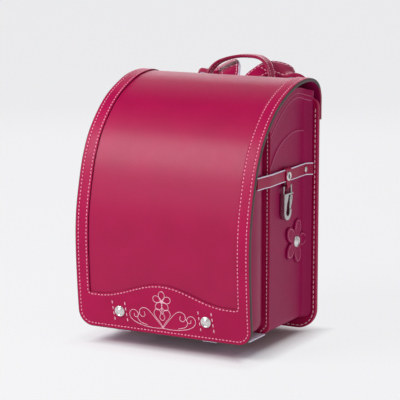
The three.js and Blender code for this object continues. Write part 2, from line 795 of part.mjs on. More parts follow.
function makeFlower(side, sign) {
  const petals = 5;
  const petalLength = flowerRadius * 0.42;
  const petalHalf = flowerRadius * 0.32;
  const x0 = bodyHalf + gap;
  const disc = (radiusY, radiusZ, y, z, turned) => {
    const shape = new THREE.Shape().absellipse(0, 0, radiusY, radiusZ, 0, 2 * Math.PI);
    const flat = new THREE.ExtrudeGeometry(shape, { depth: flowerThick, bevelEnabled: false, curveSegments: 9 });
    flat.rotateZ(turned).translate(y, z, 0);
    flat.applyMatrix4(
      new THREE.Matrix4().makeBasis(
        new THREE.Vector3(0, 1, 0),
        new THREE.Vector3(0, 0, 1),
        new THREE.Vector3(1, 0, 0),
      ),
    );
    return flat.translate(x0, flowerY, flowerZ);
  };
  const parts = [disc(flowerRadius * 0.25, flowerRadius * 0.25, 0, 0, 0)];
  for (let i = 0; i < petals; i++) {
    const angle = (i * 2 * Math.PI) / petals;
    const middle = flowerRadius - petalLength;
    parts.push(disc(petalLength, petalHalf, middle * Math.cos(angle), middle * Math.sin(angle), angle));
  }
  const flower = join(...parts);
  if (sign < 0) mirrorX(flower);
  add("flower_" + side, flower, leather);

  const at = new THREE.Vector3(sign * (x0 + flowerThick + gap), flowerY, flowerZ);
  const stud = stand(dome(flowerStudRadius, 2.6), new THREE.Vector3(sign, 0, 0), at);
  add("flower_stud_" + side, stud, metal);
}

// The carrying handle: an arch of leather that leans back, its ends looped round two pins.
// x is a share of half the span, y of the lean, z of the rise from the pins to the top.
const handleTable = [
  { x: 1, y: 0, z: 0 },
  { x: 1.01, y: 0, z: 0.3 },
  { x: 0.95, y: 0.08, z: 0.58 },
  { x: 0.81, y: 0.3, z: 0.79 },
  { x: 0.6, y: 0.6, z: 0.915 },
  { x: 0.32, y: 0.88, z: 0.985 },
  { x: 0, y: 1, z: 1 },
];

function makeHandle() {
  const halfSpan = handleSpan / 2;
  const rise = handleTop - handleThick / 2 - handlePinZ;
  const pinY = tailBack + handleReach;
  const half = handleTable.map(
    (row) => new THREE.Vector3(-row.x * halfSpan, pinY + row.y * handleLean, handlePinZ + row.z * rise),
  );
  const whole = [...half, ...half.slice(0, -1).reverse().map((p) => new THREE.Vector3(-p.x, p.y, p.z))];
  const route = new THREE.CatmullRomCurve3(whole).getSpacedPoints(30);
  const across = new THREE.Vector3(0, 1, 0);
  const strap = band(route.map((at) => ({ at, across, width: handleWidth, thick: handleThick })));
  const hole = pinRadius + 0.4;
  const [y0, y1] = [pinY - handleWidth / 2, pinY + handleWidth / 2];
  const pieces = [strap];
  const holes = [];
  for (const sign of [-1, 1]) {
    pieces.push(bar("y", y0, y1, hole + loopWall, [sign * halfSpan, handlePinZ]));
    holes.push(bar("y", y0 - 1, y1 + 1, hole, [sign * halfSpan, handlePinZ]));
  }
  add("handle", cut(join(...pieces), ...holes), leather);

  for (const [side, sign] of [
    ["left", -1],
    ["right", 1],
  ]) {
    const x = sign * halfSpan;
    const foot = roundedRect(x - 8, x + 8, handlePinZ - 12, handlePinZ + 10, 4);
    const bracket = join(
      alongY(foot, fittingY, fittingY + 2, 3),
      bar("y", fittingY + 1, y1 + 1.6, pinRadius, [x, handlePinZ]),
      bar("y", y1 + gap, y1 + 2.4, pinRadius + 1.8, [x, handlePinZ]),
    );
    add("handle_bracket_" + side, bracket, metal);
  }
}

// A shoulder strap's centre line, from its root on the back plate over the shoulder and down.
// x is a share of strapSpread, y of strapReach behind the flap's tail, z of strapRise; width and thick
// are shares of the strap's own. turn swings its outer edge towards the bag and dip lowers that edge,
// in degrees.
const strapTable = [
  { x: 0.2, y: 0.09, z: 0.88, width: 0.58, thick: 0.45, turn: 0, dip: 0 },
  { x: 0.2, y: 0.12, z: 0.928, width: 0.6, thick: 0.45, turn: 0, dip: 0 },
  { x: 0.22, y: 0.24, z: 0.957, width: 0.62, thick: 0.55, turn: 6, dip: 3 },
  { x: 0.3, y: 0.5, z: 0.98, width: 0.66, thick: 0.7, turn: 18, dip: 14 },
  { x: 0.43, y: 0.78, z: 0.993, width: 0.76, thick: 0.85, turn: 28, dip: 25 },
  { x: 0.61, y: 0.93, z: 0.982, width: 0.92, thick: 1, turn: 30, dip: 30 },
  { x: 0.79, y: 0.99, z: 0.955, width: 1, thick: 1, turn: 22, dip: 26 },
  { x: 0.91, y: 1, z: 0.875, width: 1.02, thick: 1, turn: 10, dip: 12 },
  { x: 0.97, y: 0.95, z: 0.753, width: 1, thick: 1, turn: 3, dip: 3 },
  { x: 0.99, y: 0.8, z: 0.589, width: 0.95, thick: 1, turn: 0, dip: 0 },
  { x: 0.995, y: 0.6, z: 0.445, width: 0.85, thick: 0.9, turn: 0, dip: 0 },
  { x: 0.985, y: 0.43, z: 0.34, width: 0.68, thick: 0.6, turn: 0, dip: 0 },
];

// The lower strap: from under the upper strap's end, through the buckle and down to the ring.
// y is a share of the way from the ring to the upper strap's end, z likewise.
const lowerStrapTable = [
  { y: 1.2, z: 1.32 },
  { y: 1.09, z: 1.14 },
  { y: 1, z: 1 },
  { y: 0.8, z: 0.8 },
  { y: 0.58, z: 0.6 },
  { y: 0.36, z: 0.38 },
  { y: 0.17, z: 0.18 },
  { y: 0.02, z: 0 },
];

function strapFrame(sign) {
  const points = strapTable.map(
    ({ x, y, z }) => new THREE.Vector3(sign * x * strapSpread, tailBack + y * strapReach, z * strapRise),
  );
  const route = new THREE.CatmullRomCurve3(points);
  const steps = 36;
  const stations = [];
  for (let i = 0; i <= steps; i++) {
    const t = i / steps;
    const place = t * (strapTable.length - 1);
    const row = Math.min(strapTable.length - 2, Math.floor(place));
    const mix = (key) =>
      strapTable[row][key] + (strapTable[row + 1][key] - strapTable[row][key]) * (place - row);
    const turn = THREE.MathUtils.degToRad(mix("turn"));
    const dip = THREE.MathUtils.degToRad(mix("dip"));
    const level = Math.cos(dip);
    stations.push({
      at: route.getPoint(t),
      across: new THREE.Vector3(level * Math.cos(turn), -sign * level * Math.sin(turn), -sign * Math.sin(dip)),
      width: mix("width") * strapWidth,
      thick: mix("thick") * strapThick,
    });
  }
  return stations;
}

function makeStraps() {
  const plateHalf = strapSpread * strapTable[0].x + strapWidth * 0.4;
  const rootZ = strapTable[0].z * strapRise;
  const plate = roundedRect(-plateHalf, plateHalf, rootZ - 14, rootZ + 12, 5);
  add("strap_plate", alongY(plate, fittingY, fittingY + 2, 3), metal);

  const ringTop = bodyBottom + 9;
  const hole = ringWire * Math.SQRT2 + gap;
  const ringY = boardBack + borderThick + 3 * gap + loopWall + hole;
  const ringX = strapSpread * 0.99;
  for (const [side, sign] of [
    ["left", -1],
    ["right", 1],
  ]) {
    const stations = strapFrame(sign);
    add("shoulder_strap_" + side, band(stations), leather);

    const end = stations[stations.length - 1];
    const nearEnd = stations[stations.length - 2];
    const along = end.at.clone().sub(nearEnd.at).normalize();
    const across = new THREE.Vector3(1, 0, 0);
    const inward = across.clone().cross(along).normalize();
    const towardsBag = inward.y < 0 ? inward : inward.negate();

    // The rivet sits on the face that looks towards the bag, where the strap leaves its root.
    const rivetAt = stations[6];
    const rise = rivetAt.at.clone().sub(stations[5].at).normalize();
    const out = rise.cross(rivetAt.across).normalize();
    if (out.y > 0) out.negate();
    const seat = rivetAt.at.clone().addScaledVector(out, rivetAt.thick / 2 + 3 * gap);
    add("strap_rivet_" + side, stand(dome(5, 1.8, 3, 14), out, seat), metal);

    // The ring hangs from a leather tab on the back border and carries the lower strap's loop.
    const x = sign * ringX;
    const ringBottom = ringTop - ringHeight;
    const bottomBar = ringBottom + 4.9 - ringWire;
    const outerRing = roundedRect(x - ringWidth / 2, x + ringWidth / 2, bottomBar - ringWire, ringTop + ringWire, 4);
    const innerRing = roundedRect(
      x - ringWidth / 2 + 2 * ringWire,
      x + ringWidth / 2 - 2 * ringWire,
      bottomBar + ringWire,
      ringTop - ringWire,
      1,
    );
    outerRing.holes.push(new THREE.Path(innerRing.getPoints(3).reverse()));
    add("ring_" + side, alongY(outerRing, ringY - ringWire, ringY + ringWire, 3), metal);

    const tabHalf = 11;
    const tabFoot = roundedRect(x - tabHalf, x + tabHalf, ringTop, ringTop + 22, 3);
    const tabY0 = boardBack + borderThick + 2 * gap;
    const tab = cut(
      join(
        alongY(tabFoot, tabY0, tabY0 + loopWall, 3),
        bar("x", x - tabHalf, x + tabHalf, hole + loopWall, [ringY, ringTop], 16),
      ),
      bar("x", x - tabHalf - 1, x + tabHalf + 1, hole, [ringY, ringTop], 16),
      box(x - 20, x + 20, boardBack - 20, tabY0, 0, 80),
    );
    add("ring_tab_" + side, tab, leather);

    const seatPoint = end.at.clone().addScaledVector(towardsBag, end.thick / 2 + gap + lowerStrapThick / 2);
    const foot = new THREE.Vector3(x, ringY + hole + loopWall / 2, bottomBar);
    const lowerStations = lowerStrapTable.map(({ y, z }) => ({
      at: new THREE.Vector3(x, foot.y + y * (seatPoint.y - foot.y), foot.z + z * (seatPoint.z - foot.z)),
      across,
      width: lowerStrapWidth,
      thick: lowerStrapThick,
    }));
    const smooth = new THREE.CatmullRomCurve3(lowerStations.map((s) => s.at)).getSpacedPoints(16);
    const strap = band(smooth.map((p) => ({ ...lowerStations[0], at: p })));
    const x0 = x - lowerStrapWidth / 2;
    const x1 = x + lowerStrapWidth / 2;
    const lower = cut(
      join(strap, bar("x", x0, x1, hole + loopWall, [ringY, bottomBar], 16)),
      bar("x", x0 - 1, x1 + 1, hole, [ringY, bottomBar], 16),
    );
    add("lower_strap_" + side, lower, leather);

    // The buckle lies on the lower strap's outer face, just below the upper strap's end.
    const outer = roundedRect(-19, 19, -24, -0.5, 4);
    const hollow = roundedRect(-15.5, 15.5, -20.5, -4, 2);
    outer.holes.push(new THREE.Path(hollow.getPoints(3).reverse()));
    const frame = new THREE.ExtrudeGeometry(outer, { depth: 3, bevelEnabled: false, curveSegments: 3 });
    const prong = box(-1.4, 1.4, -22, -2, 1, 3);
    const buckle = join(frame, prong);
    const up = along.clone().negate();
    const normal = towardsBag.clone().negate();
    const rightwards = up.clone().cross(normal).normalize();
    const basis = new THREE.Matrix4().makeBasis(rightwards, up, normal);
    const at = end.at.clone().addScaledVector(along, -0.1);
    buckle.applyMatrix4(basis.setPosition(at.addScaledVector(normal, 0.1 - end.thick / 2)));
    add("buckle_" + side, buckle, metal);
  }
}

makeFlap();
makeMainBody();
makePocket();
makeBack();
makeFlapRivets();
makeClosing();
for (const [side, sign] of [
  ["left", -1],
  ["right", 1],
]) {
  makeSideBelt(side, sign);
  makeTab(side, sign);
  makeHook(side, sign);
  makeFlower(side, sign);
}
makeHandle();
makeStraps();

const extent = new THREE.Box3().setFromObject(bag);
bag.position.set(0, -(extent.min.y + extent.max.y) / 2, -extent.min.z);
bag.updateMatrixWorld(true);

export default bag;
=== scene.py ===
"""The looks of a school ransel: leather, stitching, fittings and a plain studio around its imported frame."""

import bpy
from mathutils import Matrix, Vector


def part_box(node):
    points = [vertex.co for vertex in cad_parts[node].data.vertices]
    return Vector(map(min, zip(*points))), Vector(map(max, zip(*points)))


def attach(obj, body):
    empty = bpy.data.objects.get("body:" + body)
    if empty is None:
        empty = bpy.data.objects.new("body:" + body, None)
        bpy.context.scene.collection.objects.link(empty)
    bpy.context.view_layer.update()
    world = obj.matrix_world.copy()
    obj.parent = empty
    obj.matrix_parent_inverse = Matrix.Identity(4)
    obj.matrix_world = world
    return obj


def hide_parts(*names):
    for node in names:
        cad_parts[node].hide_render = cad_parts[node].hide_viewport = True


bl_info = {
    "name": "School ransel",
    "version": (1, 0, 0),
    "blender": (4, 5, 0),
    "location": "View3D > Sidebar > Ransel",
    "description": "Builds the leather, stitching, fittings and studio of a school ransel",
    "category": "Object",
}

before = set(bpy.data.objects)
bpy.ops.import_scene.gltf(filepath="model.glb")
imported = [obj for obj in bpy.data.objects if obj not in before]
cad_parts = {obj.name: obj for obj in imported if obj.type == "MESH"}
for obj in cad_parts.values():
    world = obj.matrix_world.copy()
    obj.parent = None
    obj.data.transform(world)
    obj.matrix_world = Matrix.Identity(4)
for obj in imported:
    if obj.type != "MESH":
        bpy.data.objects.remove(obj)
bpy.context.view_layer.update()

import math

import bmesh
import bpy
import numpy as np
from bpy.props import FloatProperty, FloatVectorProperty, IntProperty, PointerProperty
from mathutils import Vector

# Sizes in millimetres, in the part's own layout: X to the right seen from the flap, Y from the flap's
# foremost line to the wearer's back, Z up from the floor.
FLOOR_GAP = 22.0
FLAP_HEIGHT = 325.5
BAG_DEPTH = 194.0
FLAP_HALF = 128.0
BODY_HALF = 118.0
BACK_HALF = 133.0
FLAP_THICK = 5.0
BORDER_THICK = 1.5
BORDER_WIDTH = 19.0
FLAP_CORNER = 20.0
TAIL_BACK = 210.6
MAIN_FRONT = 73.0
BOARD_FRONT = 190.0
BOARD_TOP = 319.5
BACK_BOTTOM = 5.0
BELT_BOTTOM = 217.3
BELT_WIDTH = 16.5
TAB_Y = 120.5
HOOK_Z = 210.8
GAP = 0.3  # between pieces that touch
RIM_TOP = 332.0  # behind the bag, the flap's edge is rolled leather below this height
FLOWER_Y, FLOWER_Z, FLOWER_R = 153.3, 132.0, 31.0
RIVET_X, RIVET_Z = 64.0, 47.5
SHIFT_Y = BAG_DEPTH - 1000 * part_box("back_board")[1][1]  # from this layout to the frame's


# ---------------------------------------------------------------- sizes and colours a user would change


class RanselStitches(bpy.types.PropertyGroup):
    """Thread and stitch sizes."""

    pitch: FloatProperty(
        name="Pitch", description="From one border stitch to the next",
        default=0.005, min=0.002, max=0.02, subtype="DISTANCE", unit="LENGTH",
    )
    length: FloatProperty(
        name="Length", description="Length of one border stitch",
        default=0.0033, min=0.001, max=0.01, subtype="DISTANCE", unit="LENGTH",
    )
    thread: FloatProperty(
        name="Thread", description="Thickness of the seams' thread",
        default=0.0016, min=0.0003, max=0.003, subtype="DISTANCE", unit="LENGTH",
    )
    embroidery: FloatProperty(
        name="Embroidery thread", description="Thickness of the embroidery's thread",
        default=0.0008, min=0.0003, max=0.003, subtype="DISTANCE", unit="LENGTH",
    )
    seed: IntProperty(name="Seed", description="Seed of the stitches' small unevenness", default=7, min=0)


def colour_property(name, description, value):
    return FloatVectorProperty(
        name=name, description=description, default=value, size=4, min=0.0, max=1.0, subtype="COLOR"
    )


class RanselColours(bpy.types.PropertyGroup):
    """Colours of the ransel's materials, as linear light."""

    flap: colour_property("Flap", "Leather of the flap", (0.335, 0.001, 0.054, 1))
    # the sides' leather is a little darker than the flap's; part of that is painted shade, for side faces that
    # get less light
    side: colour_property("Sides", "Leather of the side panels and pocket", (0.3, 0.002, 0.068, 1))
    strap: colour_property("Straps", "Leather of the belts, straps and handle", (0.32, 0.001, 0.052, 1))
    edge: colour_property("Edge paint", "Paint on the cut edges of the flap", (0.06, 0.042, 0.04, 1))
    thread: colour_property("Thread", "Thread of the seams", (0.86, 0.27, 0.42, 1))
    pale_thread: colour_property("Pale thread", "Thread of the embroidery and the belts' seams",
                                 (0.9, 0.5, 0.62, 1))
    lining: colour_property("Lining", "Lining of the flap and straps", (0.66, 0.6, 0.74, 1))
    pad: colour_property("Back pad", "Leather of the padded back", (0.72, 0.67, 0.78, 1))
    metal: colour_property("Metal", "Plated fittings", (0.62, 0.6, 0.6, 1))


class RanselStudio(bpy.types.PropertyGroup):
    """The studio's light."""

    key: FloatProperty(name="Key", description="Power of the front softbox in watts", default=36.0, min=0.0)
    top: FloatProperty(name="Top", description="Power of the overhead softbox in watts", default=9.0, min=0.0)
    fill: FloatProperty(name="Fill", description="Power of the right-hand fill in watts", default=4.0, min=0.0)
    rim: FloatProperty(name="Rim", description="Power of the softbox behind on the left in watts", default=11.0,
                       min=0.0)


def stitches():
    return bpy.context.scene.ransel_stitches


def colours():
    return bpy.context.scene.ransel_colours


# ---------------------------------------------------------------- curves


def uniform_spline(points, per=40):
    """Dense points of a uniform Catmull-Rom curve with its end points doubled."""
    p = np.asarray(points, float)
    made = []
    t = np.linspace(0, 1, per, endpoint=False)[:, None]
    for i in range(len(p) - 1):
        a, b, c, d = p[max(i - 1, 0)], p[i], p[i + 1], p[min(i + 2, len(p) - 1)]
        va, vb = (c - a) / 2, (d - b) / 2
        made.append((2 * b - 2 * c + va + vb) * t**3 + (-3 * b + 3 * c - 2 * va - vb) * t**2 + va * t + b)
    made.append(p[-1:])
    return np.vstack(made)


def centripetal(points, count):
    """Points of a centripetal Catmull-Rom curve, evenly spread over its rows."""
    p = np.asarray(points, float)
    n = len(p)
    made = []
    for t in np.linspace(0, n - 1, count):
        i = min(int(t), n - 2)
        w = t - i
        b, c = p[i], p[i + 1]
        a = p[i - 1] if i else 2 * p[0] - p[1]
        d = p[i + 2] if i + 2 < n else 2 * p[-1] - p[-2]
        da, db, dc = (np.sum((q - r) ** 2) ** 0.25 for q, r in ((b, a), (c, b), (d, c)))
        ta = ((b - a) / da - (c - a) / (da + db) + (c - b) / db) * db
        tb = ((c - b) / db - (d - b) / (db + dc) + (d - c) / dc) * db
        made.append(b + ta * w + (3 * c - 3 * b - 2 * ta - tb) * w**2 + (2 * b - 2 * c + ta + tb) * w**3)
    return np.array(made)


def lengths(points):
    return np.r_[0, np.cumsum(np.linalg.norm(np.diff(points, axis=0), axis=1))]


def resample(points, count=None, step=None, at=None):
    """Points of a polyline at even steps, or at given distances."""
    points = np.asarray(points, float)
    run = lengths(points)
    if at is None:
        count = count or max(2, round(run[-1] / step) + 1)
        at = np.linspace(0, run[-1], count)
    return np.column_stack([np.interp(at, run, column) for column in points.T])


def directions(points):
    """Unit tangents of a polyline."""
    d = np.gradient(np.asarray(points, float), axis=0)
    return d / np.linalg.norm(d, axis=1)[:, None]


def smoothstep(x):
    x = np.clip(x, 0, 1)
    return x * x * (3 - 2 * x)


FLAP_SIDE = uniform_spline(
    [
        (depth * TAIL_BACK, FLOOR_GAP + height * FLAP_HEIGHT)
        for depth, height in (
            (0.04, 0), (0.018, 0.126), (0, 0.321), (0.007, 0.459), (0.043, 0.579), (0.1, 0.699),
            (0.195, 0.806), (0.366, 0.911), (0.58, 0.978), (0.747, 1), (0.872, 0.996),
            (0.958, 0.97), (0.996, 0.925), (1, 0.87), (1, 0.82),
        )
    ]
)
FLAP_RUN = lengths(FLAP_SIDE)
FLAP_LENGTH = FLAP_RUN[-1]
FLAP_ALONG = directions(FLAP_SIDE)


def flap_at(x, run, inset):
    """A point of the flap: across it, along its outer face from the bottom edge, and inside that face."""
    x, run, inset = np.broadcast_arrays(*(np.asarray(v, float) for v in (x, run, inset)))
    over = run - np.clip(run, 0, FLAP_LENGTH)
    y, z = (np.interp(run, FLAP_RUN, FLAP_SIDE[:, k]) for k in (0, 1))
    ty, tz = (np.interp(run, FLAP_RUN, FLAP_ALONG[:, k]) for k in (0, 1))
    return np.stack([x, y + ty * over + tz * inset, z + tz * over - ty * inset], axis=-1)


def flap_run_at(z):
    """How far along the flap's front a height is."""
    front = FLAP_RUN < 0.7 * FLAP_LENGTH
    return np.interp(z, FLAP_SIDE[front, 1], FLAP_RUN[front])


def flap_half_at(run):
    into = np.clip(FLAP_CORNER - run, 0, FLAP_CORNER)
    return FLAP_HALF - FLAP_CORNER + np.sqrt(FLAP_CORNER**2 - into**2)


def arc(cx, cz, radius, start, end, count):
    a = np.radians(np.linspace(start, end, count))
    return np.column_stack([cx + radius * np.cos(a), cz + radius * np.sin(a)])


def rounded_loop(left, right, bottom, top, low, high, sides=40, turn=9):
    """A rectangle with rounded corners, anticlockwise from its right side's top, as a closed loop."""
    down = np.linspace(top - high, bottom + low, sides)
    across = np.linspace(right - low, left + low, sides)
    over = np.linspace(left + high, right - high, sides)
    return np.vstack(
        [
            np.column_stack([np.full(sides, right), down]),
            arc(right - low, bottom + low, low, 0, -90, turn)[1:-1],
            np.column_stack([across, np.full(sides, bottom)]),
            arc(left + low, bottom + low, low, 270, 180, turn)[1:-1],
            np.column_stack([np.full(sides, left), down[::-1]]),
            arc(left + high, top - high, high, 180, 90, turn)[1:-1],
            np.column_stack([over, np.full(sides, top)]),
            arc(right - high, top - high, high, 90, 0, turn)[1:-1],
        ]
    )


def upright(outline, y):
    """An (X, Z) outline as points at one depth."""
    return np.column_stack([outline[:, 0], np.full(len(outline), y), outline[:, 1]])


# ---------------------------------------------------------------- meshes


def to_frame(points):
    """Millimetres in the part's layout to metres in the frame."""
    return (np.asarray(points, float).reshape(-1, 3) - (0, SHIFT_Y, 0)) / 1000


def finished(name, mesh, body, replaces=()):
    """A piece from a mesh that is in place: it rides on a body and may stand for CAD nodes."""
    piece = bpy.data.objects.new(name, mesh)
    bpy.context.scene.collection.objects.link(piece)
    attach(piece, body)
    if replaces:
        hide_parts(*replaces)
    return piece


def solid_mesh(name, parts, materials, merge=0.0):
    """A smooth mesh from closed shells, each (points in mm, faces, material index of each face)."""
    bm = bmesh.new()
    for points, faces, looks in parts:
        made = [bm.verts.new(p) for p in to_frame(points).tolist()]
        looks = [looks] * len(faces) if isinstance(looks, int) else looks
        for corners, look in zip(faces, looks):
            face = bm.faces.new([made[k] for k in corners])
            face.smooth = True
            face.material_index = int(look)
    if merge:
        bmesh.ops.remove_doubles(bm, verts=bm.verts, dist=merge / 1000)
    bmesh.ops.recalc_face_normals(bm, faces=bm.faces)
    mesh = bpy.data.meshes.new(name)
    bm.to_mesh(mesh)
    bm.free()
    for material in materials:
        mesh.materials.append(material)
    return mesh


def keep_edges(mesh, degrees=35):
    """Keeps a mesh's corners sharp above an angle, and smooth below it."""
    mesh.set_sharp_from_angle(angle=math.radians(degrees))
    return mesh


def skin(loops, looks=0, ends=True, round_trip=False, paired=False):
    """A closed shell through loops of equal count. looks gives the material of each strip round a loop.

    paired closes the ends of a wall's section, whose second half runs back beside its first.
    """
    loops = np.asarray(loops, float)
    rows, count = loops.shape[:2]
    looks = [looks] * count if isinstance(looks, int) else looks
    faces, kinds = [], []
    for i in range(rows if round_trip else rows - 1):
        k = (i + 1) % rows
        for j in range(count):
            n = (j + 1) % count
            faces.append((i * count + j, i * count + n, k * count + n, k * count + j))
            kinds.append(looks[j])
    points = loops.reshape(-1, 3)
    if paired:
        for row in (0, rows - 1):
            for j in range(count // 2 - 1):
                faces.append([row * count + k for k in (j, j + 1, count - 2 - j, count - 1 - j)])
                kinds.append(looks[0])
    elif ends and not round_trip:
        for row in (0, rows - 1):
            middle = len(points)
            points = np.vstack([points, loops[row].mean(axis=0)])
            for j in range(count):
                faces.append((row * count + j, row * count + (j + 1) % count, middle))
                kinds.append(looks[0] if isinstance(ends, bool) else ends)
    return points, faces, kinds


def section(width, thick, radius=None, groove=None, depth=0.35, crown=0.0, sag=0.0, inner=7):
    """A strap's section: (across, up) points, and for each its part: 0 top, 1 edge, 2 underside."""
    half, high = width / 2, thick / 2
    radius = min(radius or high, high, half * 0.45)
    marks = [radius * 1.4]
    if groove:
        marks += [groove - 0.9, groove - 0.35, groove, groove + 0.35, groove + 0.9]
    marks = [m * min(1, 0.8 * half / (marks[-1] + 0.6)) for m in marks]
    last = marks[-1] + 0.3 * (half - marks[-1])
    edge = [-half + m for m in marks]
    middle = np.linspace(-half + last, half - last, inner)
    xs = np.array([-half + radius] + edge + list(middle) + [-m for m in reversed(edge)] + [half - radius])
    ups = high + crown * (1 - (xs / half) ** 2)
    if groove:
        ups -= depth * np.exp(-(((half - np.abs(xs)) - groove) / 0.42) ** 2)
    top = [(x, u, 0) for x, u in zip(xs, ups)]
    turn = [
        (half - radius + radius * math.sin(a), high - radius + radius * math.cos(a), 1)
        for a in np.linspace(0, math.pi / 2, 4)[1:]
    ]
    right = turn + [(x, -u, 1) for x, u, _ in reversed(turn)]
    under = [(x, -high - sag * (1 - (x / half) ** 2), 2) for x in xs[::-1]]
    left = [(-x, u, 1) for x, u, _ in reversed(right)]
    return top + right + under + left


class Strap:
    """A flat strap along a route, with its width and thickness at each station."""

    def __init__(self, route, across, width, thick, step=3.0, tip=(0.0, 0.0)):
        route = np.asarray(route, float)
        run = lengths(route)
        marks = list(np.linspace(0, run[-1], max(4, round(run[-1] / step) + 1)))
        for end, size in enumerate(tip):
            if size:
                turn = size * (1 - np.cos(np.linspace(0, math.pi / 2, 7)))
                marks += list(turn if end == 0 else run[-1] - turn)
        marks = np.unique(np.round(marks, 4))
        pick = lambda v: np.interp(marks, run, np.broadcast_to(np.asarray(v, float), run.shape))
        self.at = np.column_stack([np.interp(marks, run, c) for c in route.T])
        across = np.broadcast_to(np.asarray(across, float), route.shape)
        across = np.column_stack([np.interp(marks, run, c) for c in across.T])
        self.width, self.thick = pick(width), pick(thick)
        for end, size in enumerate(tip):
            if size:
                near = marks if end == 0 else run[-1] - marks
                into = np.clip(size - near, 0, size)
                self.width = self.width - 2 * (size - np.sqrt(np.clip(size**2 - into**2, 0, None)))
        self.along = directions(self.at)
        side = across - self.along * np.sum(across * self.along, axis=1)[:, None]
        self.side = side / np.linalg.norm(side, axis=1)[:, None]
        self.out = np.cross(self.side, self.along)
        self.run = marks

    def shell(self, looks=(0, 1, 2), **cut):
        """The strap's closed shell; looks are the materials of its top, edges and underside."""
        loops = []
        for i in range(len(self.at)):
            made = section(self.width[i], self.thick[i], **cut)
            loops.append([self.at[i] + self.side[i] * a + self.out[i] * b for a, b, _ in made])
        count = min(len(loop) for loop in loops)
        if any(len(loop) != count for loop in loops):
            raise RuntimeError("a strap's sections differ in their number of points")
        parts = [part for _, _, part in made]
        kinds = []
        for j in range(count):
            pair = parts[j], parts[(j + 1) % count]
            kinds.append(looks[1] if 1 in pair else looks[pair[0]])
        return skin(loops, kinds)

    def row(self, share, inset=0.0, face=1, lift=0.0, start=0.0, end=0.0):
        """A line on one of the strap's faces: share of the half width less an inset from the edge."""
        keep = (self.run >= start) & (self.run <= self.run[-1] - end)
        half = self.width / 2 - inset
        across = self.side * (share * half)[:, None]
        up = self.out * (face * (self.thick / 2 + lift))[:, None]
        return (self.at + across + up)[keep]


def tube(points, radius, sides=8, closed=False):
    """A round cord through points."""
    points = np.asarray(points, float)
    if closed:
        along = np.roll(points, -1, axis=0) - np.roll(points, 1, axis=0)
        along /= np.linalg.norm(along, axis=1)[:, None]
    else:
        along = directions(points)
    a = np.linspace(0, 2 * math.pi, sides, endpoint=False)
    normal = np.cross(along[0], (0.31, 0.87, 0.39))
    loops = []
    for p, t in zip(points, along):
        normal = normal - t * normal.dot(t)
        normal /= np.linalg.norm(normal)
        other = np.cross(t, normal)
        loops.append([p + radius * (math.cos(k) * normal + math.sin(k) * other) for k in a])
    return skin(loops, round_trip=closed)


def lathe(profile, axis, at, sides=56):
    """A turned shell: profile of (radius, height), closed onto the axis or into a ring."""
    axis = np.asarray(axis, float) / np.linalg.norm(axis)
    first = np.cross(axis, (0.2, 0.3, 0.93))
    first /= np.linalg.norm(first)
    second = np.cross(axis, first)
    rim = [(r, h) for r, h in profile if r > 1e-6]
    loops = []
    for a in np.linspace(0, 2 * math.pi, sides, endpoint=False):
        ray = math.cos(a) * first + math.sin(a) * second
        loops.append([np.asarray(at) + axis * h + ray * r for r, h in rim])
    ring = len(rim) == len(profile)
    loops = np.array(loops)
    rows, count = loops.shape[:2]
    faces = []
    for i in range(rows):
        k = (i + 1) % rows
        for j in range(count if ring else count - 1):
            n = (j + 1) % count
            faces.append((i * count + j, i * count + n, k * count + n, k * count + j))
    points = loops.reshape(-1, 3)
    if not ring:
        for pole, column in ((profile[0], 0), (profile[-1], count - 1)):
            points = np.vstack([points, np.asarray(at) + axis * pole[1]])
            for i in range(rows):
                faces.append((i * count + column, (i + 1) % rows * count + column, len(points) - 1))
    return points, faces, 0


def built(name, parts, materials, corner, replaces=()):
    """A piece of the bag from closed shells. Corners sharper than an angle in degrees stay sharp."""
    mesh = solid_mesh(name, parts, materials)
    if corner:
        keep_edges(mesh, corner)
    return finished(name, mesh, "bag", replaces)


def refined(node, material, bevel, body, segments=2):
    """A CAD fitting with its corners eased: a merged copy with a bevel."""
    mesh = bpy.data.objects[node].data.copy()
    bm = bmesh.new()
    bm.from_mesh(mesh)
    bmesh.ops.remove_doubles(bm, verts=bm.verts, dist=2e-6)
    bmesh.ops.dissolve_limit(bm, angle_limit=math.radians(1), verts=bm.verts, edges=bm.edges)
    sharp = [e for e in bm.edges if len(e.link_faces) == 2 and e.calc_face_angle() > math.radians(35)]
    bmesh.ops.bevel(
        bm, geom=sharp, offset=bevel / 1000, segments=segments, profile=0.5, affect="EDGES", clamp_overlap=True
    )
    for face in bm.faces:
        face.smooth = True
        face.material_index = 0
    bm.to_mesh(mesh)
    bm.free()
    mesh.materials.clear()
    mesh.materials.append(material)
    keep_edges(mesh, 40)
    return finished(node + "_eased", mesh, body, (node,))


# ---------------------------------------------------------------- stitches


